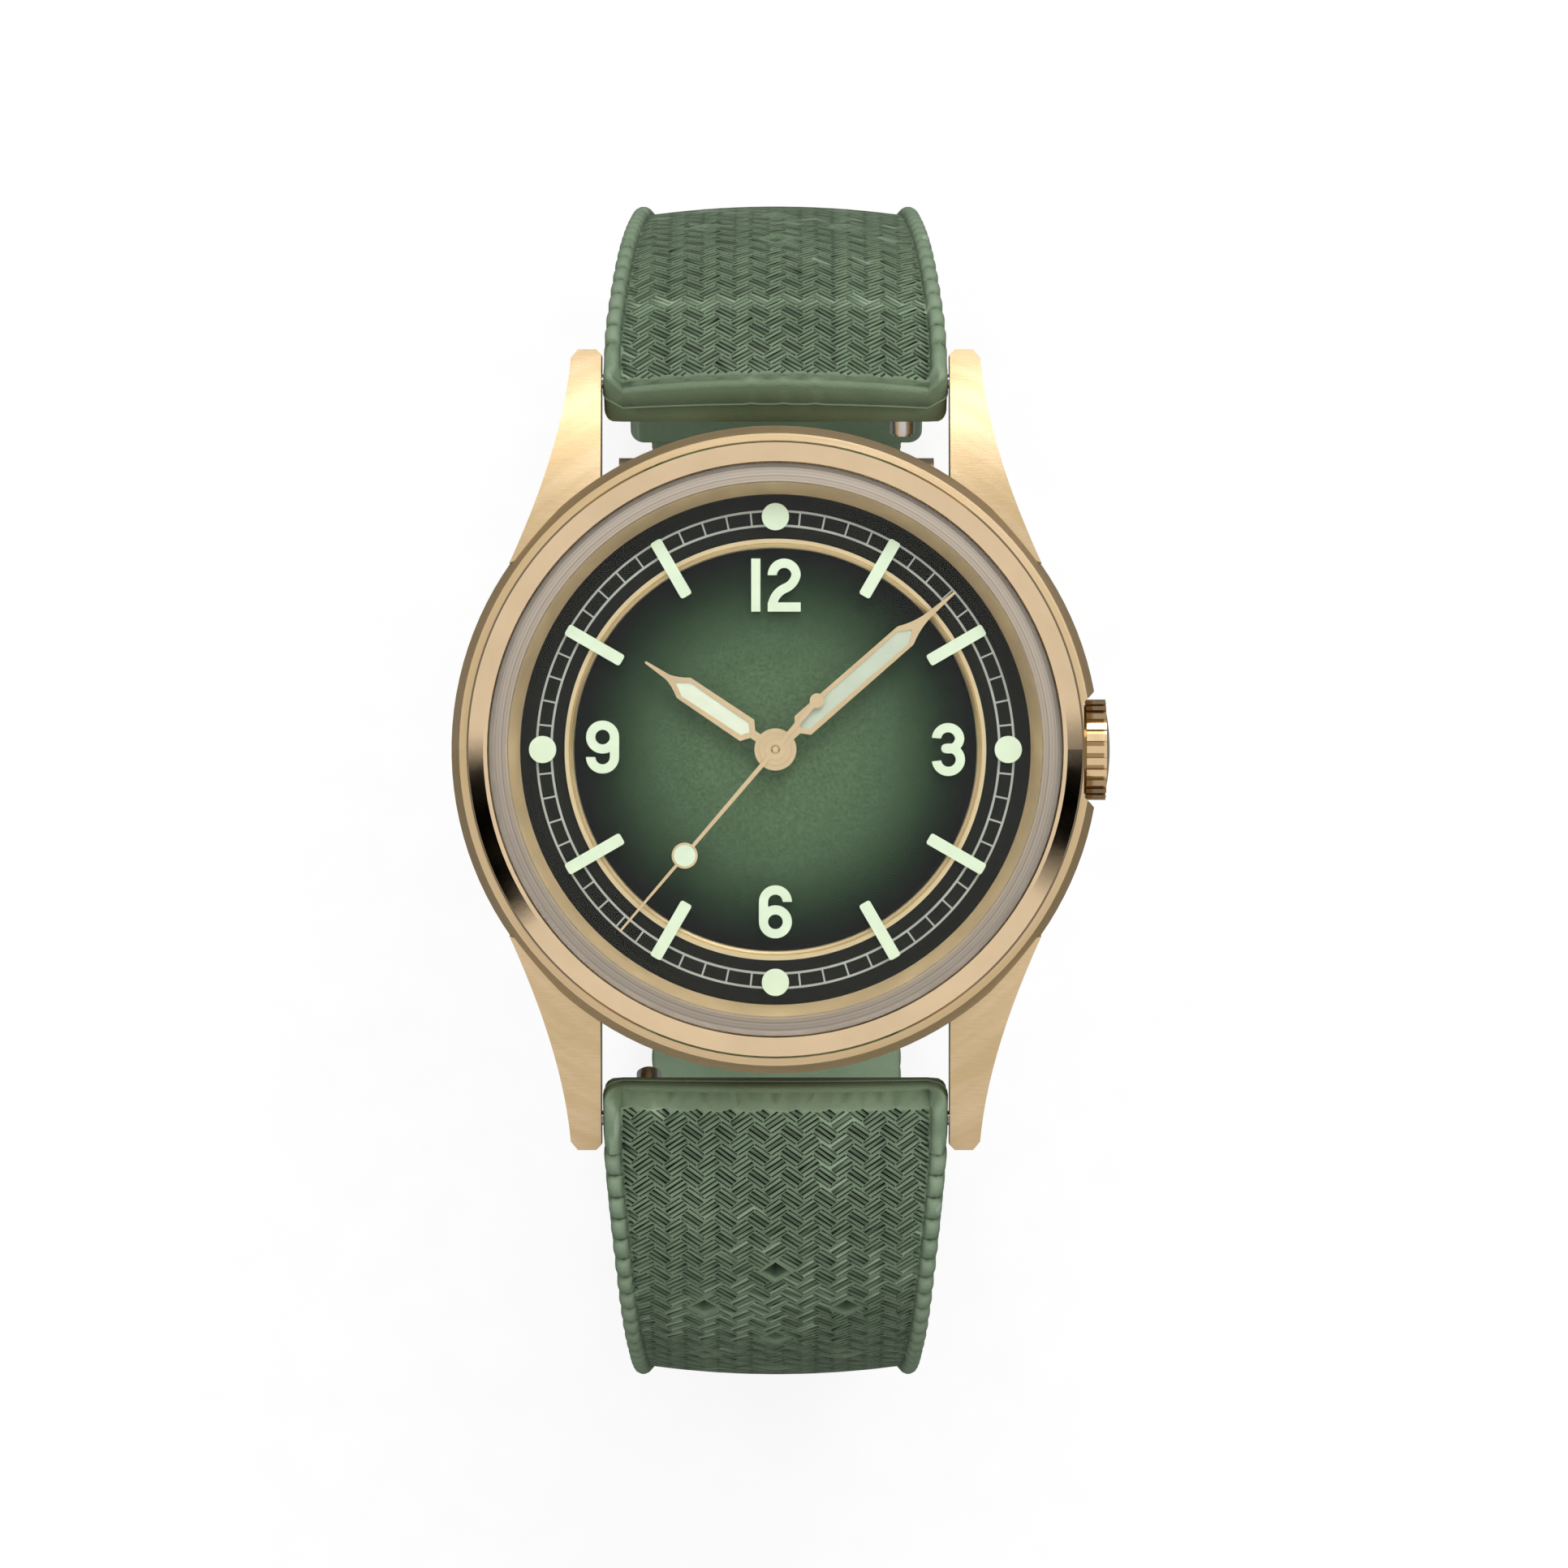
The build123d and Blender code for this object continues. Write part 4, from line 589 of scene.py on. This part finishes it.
def diamond(hs, hx, grow=0.0):
    """A hole's outline in the plan, three points to a side."""
    corners = [
        (hs, hx + HOLE_W / 2 + grow), (hs + HOLE_L / 2 + grow, hx),
        (hs, hx - HOLE_W / 2 - grow), (hs - HOLE_L / 2 - grow, hx),
    ]
    found = []
    for (s0, x0), (s1, x1) in zip(corners, corners[1:] + corners[:1]):
        found += [(s0 + (s1 - s0) * k / 3, x0 + (x1 - x0) * k / 3) for k in range(3)]
    return found


def zigzag(arm, x):
    """Where the weave begins: cut along the blocks' slanting edges."""
    return arm["weave_from"] + 0.24 * abs(((x / CELL_X + 0.25) % 1.0) - 0.5) * 2


def open_run(trail, least=4):
    """The two ends of a groove's points if they are one unbroken run of at least so many, or None."""
    open_at = [n for n, point in enumerate(trail) if point]
    if len(open_at) < least or open_at[-1] - open_at[0] >= len(open_at):
        return None
    return trail[open_at[0]], trail[open_at[-1]]


def grooves(arm, s_end, places):
    """The weave: blocks of four short grooves that slant one way, then the other."""
    found = []
    rows, columns = int(s_end / CELL_S) + 2, int(10 / CELL_X) + 2
    a = radians(GROOVE_SLANT)

    def on_weave(s, x):
        """The point, or None where it is off the weave or near a hole."""
        inside = abs(x) < tail_half(arm, s) - BEAD_W - 0.12 and zigzag(arm, x) + 0.04 < s < s_end - 0.3
        return (s, x) if inside and not in_hole(places, s, x, 0.3) else None

    for way, shift in ((1, 0.0), (-1, 0.5)):
        along, across = (way * sin(a), cos(a)), (cos(a), -way * sin(a))
        for j in range(-1, rows):
            for i in range(-columns, columns + 1):
                cs, cx = (j + shift) * CELL_S + 0.4, (i + shift) * CELL_X
                for k in range(4):
                    offset = (k - 1.5) * GROOVE_PITCH
                    reach = 0.6 if k in (1, 2) else 0.56
                    ms, mx = cs + across[0] * offset, cx + across[1] * offset
                    steps = [reach * step / 8 for step in range(-8, 9)]
                    ends = open_run([on_weave(ms + along[0] * t, mx + along[1] * t) for t in steps])
                    if ends:
                        found.append((*ends, along, across))
    return found


def groove_plan(first, last, along, across):
    """A groove's rim, pointed at both ends, and the deep line inside it."""
    (s0, x0), (s1, x1) = first, last
    w, tip, inner = GROOVE_HALF_W, 0.045, 0.03
    rim = [
        (s0 - along[0] * tip, x0 - along[1] * tip),
        (s0 + across[0] * w, x0 + across[1] * w),
        (s1 + across[0] * w, x1 + across[1] * w),
        (s1 + along[0] * tip, x1 + along[1] * tip),
        (s1 - across[0] * w, x1 - across[1] * w),
        (s0 - across[0] * w, x0 - across[1] * w),
    ]
    deep = [(s0 + along[0] * inner, x0 + along[1] * inner), (s1 - along[0] * inner, x1 - along[1] * inner)]
    return rim, deep


def filling(arm, places, first, last, pitch, spacing, margin):
    """Points that fill the plan between its edge and its holes, in rows a pitch apart."""
    found, row = [], first
    while row < last:
        for k in range(-5, 6):
            x = k * spacing
            if abs(x) < tail_half(arm, row) - margin and not in_hole(places, row, x, 0.3):
                found.append((row, x))
        row += pitch
    return found


def end_round(arm, s):
    """How much further down the outer face lies where the arm's end is rounded."""
    radius = arm["round_end"]
    left = RIM_INSET + radius - s
    return radius - sqrt(max(0.0, radius**2 - left**2)) if left > 0 else 0.0


def signed_area(flat, face):
    """Twice a plan triangle's area, negative if its corners go clockwise."""
    a, b, c = (flat[i] for i in face)
    return (b[0] - a[0]) * (c[1] - a[1]) - (b[1] - a[1]) * (c[0] - a[0])


def skin(arm, s_end):
    """The moulded rubber as (s, x, depth) points and faces: outer face, underside and the walls between.

    The outer face is a triangulated plan with every groove, hole and notch in it.
    """
    places = holes(arm)
    rows = side_rows(arm, s_end)
    rim, right_edge = outline(arm, s_end)
    rim_low, rim_high = min(p[0] for p in rim), max(p[0] for p in rim)
    strip_half = half_width(0) - BEAD_W - 0.1
    points, edges, sunk, near = [], [], {}, {}
    vertices, faces = [], []

    def add(s, x, extra=0.0):
        points.append((s, x))
        if extra:
            sunk[len(points) - 1] = extra
        return len(points) - 1

    def chain(ids, closed=False):
        edges.extend(zip(ids, ids[1:]))
        if closed:
            edges.append((ids[-1], ids[0]))

    rim_ids = [add(*p) for p in rim]
    chain(rim_ids, True)
    hole_ids = []
    for hs, hx in places:
        hole_ids.append([add(s, x, HOLE_SINK) for s, x in diamond(hs, hx)])
        chain(hole_ids[-1], True)
        chain([add(s, x) for s, x in diamond(hs, hx, 0.09)], True)
    for s in rows[1:]:
        for t in (0.42, 0.55, 0.68, 0.8, 0.92, 1.0, 1.1):
            for side in (-1, 1):
                x = tail_half(arm, s) - BEAD_W * t
                if x > 1.0 and s < s_end - 0.25:
                    add(s, side * x)
    bead_rows = [s for s in rows if 0.8 < s < s_end - 0.25 and tail_half(arm, s) > 2.0]
    for side in (-1, 1):
        chain([add(s, side * (tail_half(arm, s) - BEAD_W)) for s in bead_rows])
    count = int(2 * strip_half / 0.475)
    for extra, back in ((0.0, 0.0), (arm["step"], -0.07)):
        ids = []
        for k in range(count + 1):
            x = -strip_half + 2 * strip_half * k / count
            ids.append(add(max(zigzag(arm, x) + back, 0.36), x, extra))
        chain(ids)
    for groove in grooves(arm, s_end, places):
        groove_rim, deep_line = groove_plan(*groove)
        chain([add(*p) for p in groove_rim], True)
        chain([add(s, x, GROOVE_DEPTH) for s, x in deep_line])
    for s, x in filling(arm, places, 0.6, s_end - 0.4, 0.65, 2.0, 1.4):
        add(s, x + 0.03)

    def edge_at(s):
        """How far out the rim is at s, or -1 where it isn't."""
        key = int(s)
        if key not in near:
            pairs = zip(right_edge, right_edge[1:])
            near[key] = [(a, b) for a, b in pairs if a[0] <= key + 1 and b[0] >= key]
        crossed = [(a, b) for a, b in near[key] if a[0] <= s <= b[0] and b[0] > a[0]]
        return max((x0 + (x1 - x0) * (s - s0) / (s1 - s0) for (s0, x0), (s1, x1) in crossed), default=-1)

    def kept(flat, face):
        """True for a triangle inside the rim and outside every hole."""
        s = sum(flat[i][0] for i in face) / 3
        x = sum(flat[i][1] for i in face) / 3
        return rim_low <= s <= rim_high and abs(x) <= edge_at(s) and not in_hole(places, s, x)

    def lay(plan_points, plan_edges, depth_of, facing):
        """Triangulates a plan and adds it as a surface. Gives the vertex that each plan point became."""
        plan = delaunay_2d_cdt([Vector(p) for p in plan_points], plan_edges, [], 0, 1e-5, True)
        flat, plan_faces, made_of = plan[0], plan[2], plan[3]
        index, became = {}, {}
        for face in plan_faces:
            if not kept(flat, face):
                continue
            for i in face:
                if i not in index:
                    index[i] = len(vertices)
                    became.update((n, index[i]) for n in made_of[i])
                    vertices.append((*flat[i], depth_of(*flat[i], made_of[i])))
            ids = [index[i] for i in face]
            faces.append(ids[::-1] if facing * signed_area(flat, face) > 0 else ids)
        return became

    def top_depth(s, x, made):
        """The outer face's depth, with what is sunk into it, its rounded end and its smooth strip."""
        face = depth_at(arm, s, x)
        depth = face + max((sunk.get(n, 0.0) for n in made), default=0.0) + end_round(arm, s)
        if s < arm["weave_from"] + 0.6 and s < zigzag(arm, x) - 0.05 and abs(x) < strip_half + 0.02:
            depth = max(depth, face + arm["step"] + end_round(arm, s))
        return depth

    top = lay(points, edges, top_depth, 1)

    hole_loops = [diamond(hs, hx) for hs, hx in places]
    under_points, under_edges, under_ids = [], [], []
    for loop in [rim] + hole_loops:
        ids = list(range(len(under_points), len(under_points) + len(loop)))
        under_ids.append(ids)
        under_points += loop
        under_edges += zip(ids, ids[1:] + ids[:1])
    under_points += filling(arm, places, 1.2, s_end - 0.8, 1.0, 1.5, 0.9)
    bottom = lay(under_points, under_edges, lambda s, x, made: thickness(s), -1)

    def wall(loop, top_ids, bottom_ids, profile):
        """Joins the outer face and the underside along a loop, through the rows of a profile."""
        columns = []
        for n, (s, x) in enumerate(loop):
            (s0, x0), (s1, x1) = loop[n - 1], loop[(n + 1) % len(loop)]
            ds, dx = s1 - s0, x1 - x0
            size = sqrt(ds * ds + dx * dx) or 1.0
            first = top[top_ids[n]]
            column = [first]
            top_at, under = vertices[first][2], thickness(s)
            for out, share, shift in profile:
                scallop = 0.13 * notch(arm, s) * (1 - share) if abs(x) > 2 and s > 1 else 0.0
                column.append(len(vertices))
                depth = top_at + (under - top_at) * share + shift
                vertices.append((s - dx / size * (out - scallop), x + ds / size * (out - scallop), depth))
            columns.append(column + [bottom[bottom_ids[n]]])
        for a, b in zip(columns, columns[1:] + columns[:1]):
            faces.extend([a[k], a[k + 1], b[k + 1], b[k]] for k in range(len(a) - 1))

    wall(rim, rim_ids, under_ids[0], EDGE_PROFILE)
    for loop, ids, low_ids in zip(hole_loops, hole_ids, under_ids[1:]):
        wall(loop, ids, low_ids, [(0.0, 0.5, 0.0)])
    return vertices, faces


def rubber_piece(name, mesh, sharp_from, node, body):
    """Adds a moulded piece that stands for a strap arm's CAD node."""
    piece = bpy.data.objects.new(name, mesh)
    bpy.context.collection.objects.link(piece)
    mesh.materials.append(mats["rubber"])
    for polygon in mesh.polygons:
        polygon.use_smooth = True
    mesh.set_sharp_from_angle(angle=radians(sharp_from))
    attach(piece, body)
    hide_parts(node)


def strap_piece(name, arm, s_end, node, body):
    vertices, faces = skin(arm, s_end)
    mesh = bpy.data.meshes.new(name)
    mesh.from_pydata([place(arm, s, x, depth) for s, x, depth in vertices], [], faces)
    mesh.update()
    mesh.validate()
    rubber_piece(name, mesh, 38, node, body)


strap_piece("strap_short_rubber", SHORT, length(SHORT) - 2.9, "strap_short", "short_arm")
strap_piece("strap_long_rubber", LONG, length(LONG) - 0.3, "strap_long", "long_arm")


def loop_end():
    """The short arm's two rolled ends that turn on the buckle's bar, either side of the tongue's slot."""
    end, t = length(SHORT), TAIL_T
    begin, bore_r, slot_half, side = 3.1, 0.75, 1.1, 7.98
    outer = [(end - begin + 0.31 * k, 0.12 - 0.012 * k) for k in range(10)]
    outer += [(end + t / 2 * sin(radians(a)), t / 2 - t / 2 * cos(radians(a))) for a in range(0, 181, 12)]
    outer += [(end - begin, t)]
    bore = [(end + bore_r * cos(radians(a)), t / 2 + bore_r * sin(radians(a))) for a in range(0, 360, 15)]
    n, m = len(outer), len(bore)
    edges = [(k, (k + 1) % n) for k in range(n)] + [(n + k, n + (k + 1) % m) for k in range(m)]
    flat, _, tris, *_ = delaunay_2d_cdt([Vector(p) for p in outer + bore], edges, [], 1, 1e-6, False)

    def off_bore(face):
        s, d = (sum(flat[i][axis] for i in face) / 3 for axis in (0, 1))
        return sqrt((s - end) ** 2 + (d - t / 2) ** 2) > bore_r - 0.01

    tris = [face for face in tris if off_bore(face)]
    sides = [(f[k], f[(k + 1) % 3]) for f in tris for k in range(3)]
    rim = [(a, b) for a, b in sides if (b, a) not in sides]
    vertices, faces = [], []
    for low, high in ((slot_half, side), (-side, -slot_half)):
        base, size = len(vertices), len(flat)
        for x in (low, low + 0.12, high - 0.12, high):
            shrink = 0.97 if x in (low, high) else 1.0
            for s, d in flat:
                past = (s - end + 1.2) * (shrink if s > end else 1)
                vertices.append(place(SHORT, end - 1.2 + past, x, t / 2 + (d - t / 2) * shrink))
        for f in tris:
            faces.append([base + i for i in f])
            faces.append([base + 3 * size + i for i in f][::-1])
        for row in (base, base + size, base + 2 * size):
            faces += [[row + b, row + a, row + size + a, row + size + b] for a, b in rim]
    mesh = bpy.data.meshes.new("strap_short_bar_ends")
    mesh.from_pydata(vertices, [], faces)
    mesh.validate()
    bm = bmesh.new()
    bm.from_mesh(mesh)
    bmesh.ops.recalc_face_normals(bm, faces=bm.faces)
    bm.to_mesh(mesh)
    bm.free()
    rubber_piece("strap_short_bar_ends", mesh, 30, "strap_short", "short_arm")


loop_end()

# ------------------------------------------------------------------ stage, light and camera
FLOOR_GAP, FLOOR_HALF = 0.0002, 1.6
FLOOR_GLOW = 0.79
SKY_LOW, SKY_HIGH = 0.3, 0.97
# Dark screens that polished metal mirrors: (direction, angle that is dark, angle where it ends).
SCREENS = (((0.9, -0.17, 0.42), 7, 17), ((-0.88, -0.26, 0.42), 12, 18))
CASE_PLANE, DISTANCE, VIEW_WIDTH = 0.0074, 0.5, 0.08944
VIEW_X, VIEW_Y = 0.00049, -0.00197


def paper():
    """Pale paper. Its glow is for the camera alone, so that it doesn't light the watch from below."""
    m = Mat("paper_floor", (0.25, 0.25, 0.25), 0.0, 0.9, Specular_IOR_Level=0.1)
    fibre = m.noise(m.scaled((300, 300, 300)), 1.0, 4)
    m.p.inputs["Emission Color"].default_value = (1, 1, 1, 1)
    glow = m.math("MULTIPLY", m.node("LightPath").outputs["Is Camera Ray"], FLOOR_GLOW)
    m.put(m.p.inputs["Emission Strength"], glow)
    m.colour(m.mix(m.ramp(fibre, (0.3, 0.0), (0.7, 1.0)), (0.24, 0.24, 0.24), (0.26, 0.26, 0.26)))
    return m.m


floor_z = cad_box[0][2] - FLOOR_GAP
floor_corners = [(FLOOR_HALF * x, FLOOR_HALF * y, floor_z) for x, y in ((-1, -1), (1, -1), (1, 1), (-1, 1))]
floor_mesh = bpy.data.meshes.new("floor")
floor_mesh.from_pydata(floor_corners, [], [(0, 1, 2, 3)])
floor_mesh.materials.append(paper())
floor_piece = bpy.data.objects.new("floor", floor_mesh)
bpy.context.collection.objects.link(floor_piece)

scene = bpy.context.scene
scene.view_settings.view_transform = "Standard"
world = bpy.data.worlds.new("studio")
scene.world = world
world.use_nodes = True
sky = world.node_tree
background = sky.nodes["Background"]
background.inputs["Strength"].default_value = 1.0


def sky_node(kind, *values, **props):
    n = sky.nodes.new("ShaderNode" + kind)
    for key, value in props.items():
        setattr(n, key, value)
    for socket, value in zip(n.inputs, values):
        if isinstance(value, bpy.types.NodeSocket):
            sky.links.new(value, socket)
        else:
            socket.default_value = value
    return n.outputs


def patch(direction, toward, inner, outer):
    """0 inside a dark screen round a direction, 1 outside it."""
    axis = tuple(Vector(toward).normalized())
    cosine = sky_node("VectorMath", direction, axis, operation="DOT_PRODUCT")[1]
    return sky_node("MapRange", cosine, cos(radians(inner)), cos(radians(outer)), 0.0, 1.0)[0]


def studio_sky():
    """White behind the scene. Gloss mirrors a pale dome, darker at the horizon, with two dark screens.
    Soft light comes from a dome that is brightest a little towards 12 o'clock."""
    direction = sky_node("TexCoord")[0]
    height = sky_node("SeparateXYZ", direction)[2]
    dome = sky_node("MapRange", height, 0.02, 0.36, SKY_LOW, SKY_HIGH)[0]
    for screen in SCREENS:
        dome = sky_node("Math", dome, patch(direction, *screen), operation="MULTIPLY")[0]
    seen, _, soft = sky_node("LightPath")[:3]
    toward_noon = sky_node("VectorMath", direction, (0.0, 0.26, 0.966), operation="DOT_PRODUCT")[1]
    tilted = sky_node("MapRange", toward_noon, 0.12, 1.0, 0.02, 1.32)[0]
    dome = sky_node("Mix", soft, (0.0, 0.0, 0.0), dome, tilted)[0]
    unseen = sky_node("Math", 1.0, seen, operation="SUBTRACT")[0]
    dome = sky_node("Math", unseen, dome, operation="MULTIPLY")[0]
    return sky_node("Math", dome, seen, operation="ADD")[0]


sky.links.new(studio_sky(), background.inputs["Color"])


def softbox(name, at, aim, width, height, power):
    data = bpy.data.lights.new(name, "AREA")
    data.shape = "RECTANGLE"
    data.size, data.size_y = width, height
    data.energy = power
    lamp = bpy.data.objects.new(name, data)
    bpy.context.collection.objects.link(lamp)
    lamp.location = at
    lamp.rotation_mode = "QUATERNION"
    lamp.rotation_quaternion = (Vector(aim) - Vector(at)).to_track_quat("-Z", "Y")


softbox("key", (0.1, 0.42, 0.42), (0, 0, 0), 0.32, 0.24, 0.95)

# The camera looks straight down at the dial.
camera_data = bpy.data.cameras.new("camera")
camera = bpy.data.objects.new("camera", camera_data)
bpy.context.collection.objects.link(camera)
camera_data.sensor_width = 36.0
camera_data.lens = camera_data.sensor_width * DISTANCE / VIEW_WIDTH
camera_data.clip_start, camera_data.clip_end = 0.01, 10
camera.location = (VIEW_X, VIEW_Y, CASE_PLANE + DISTANCE)
scene.camera = camera
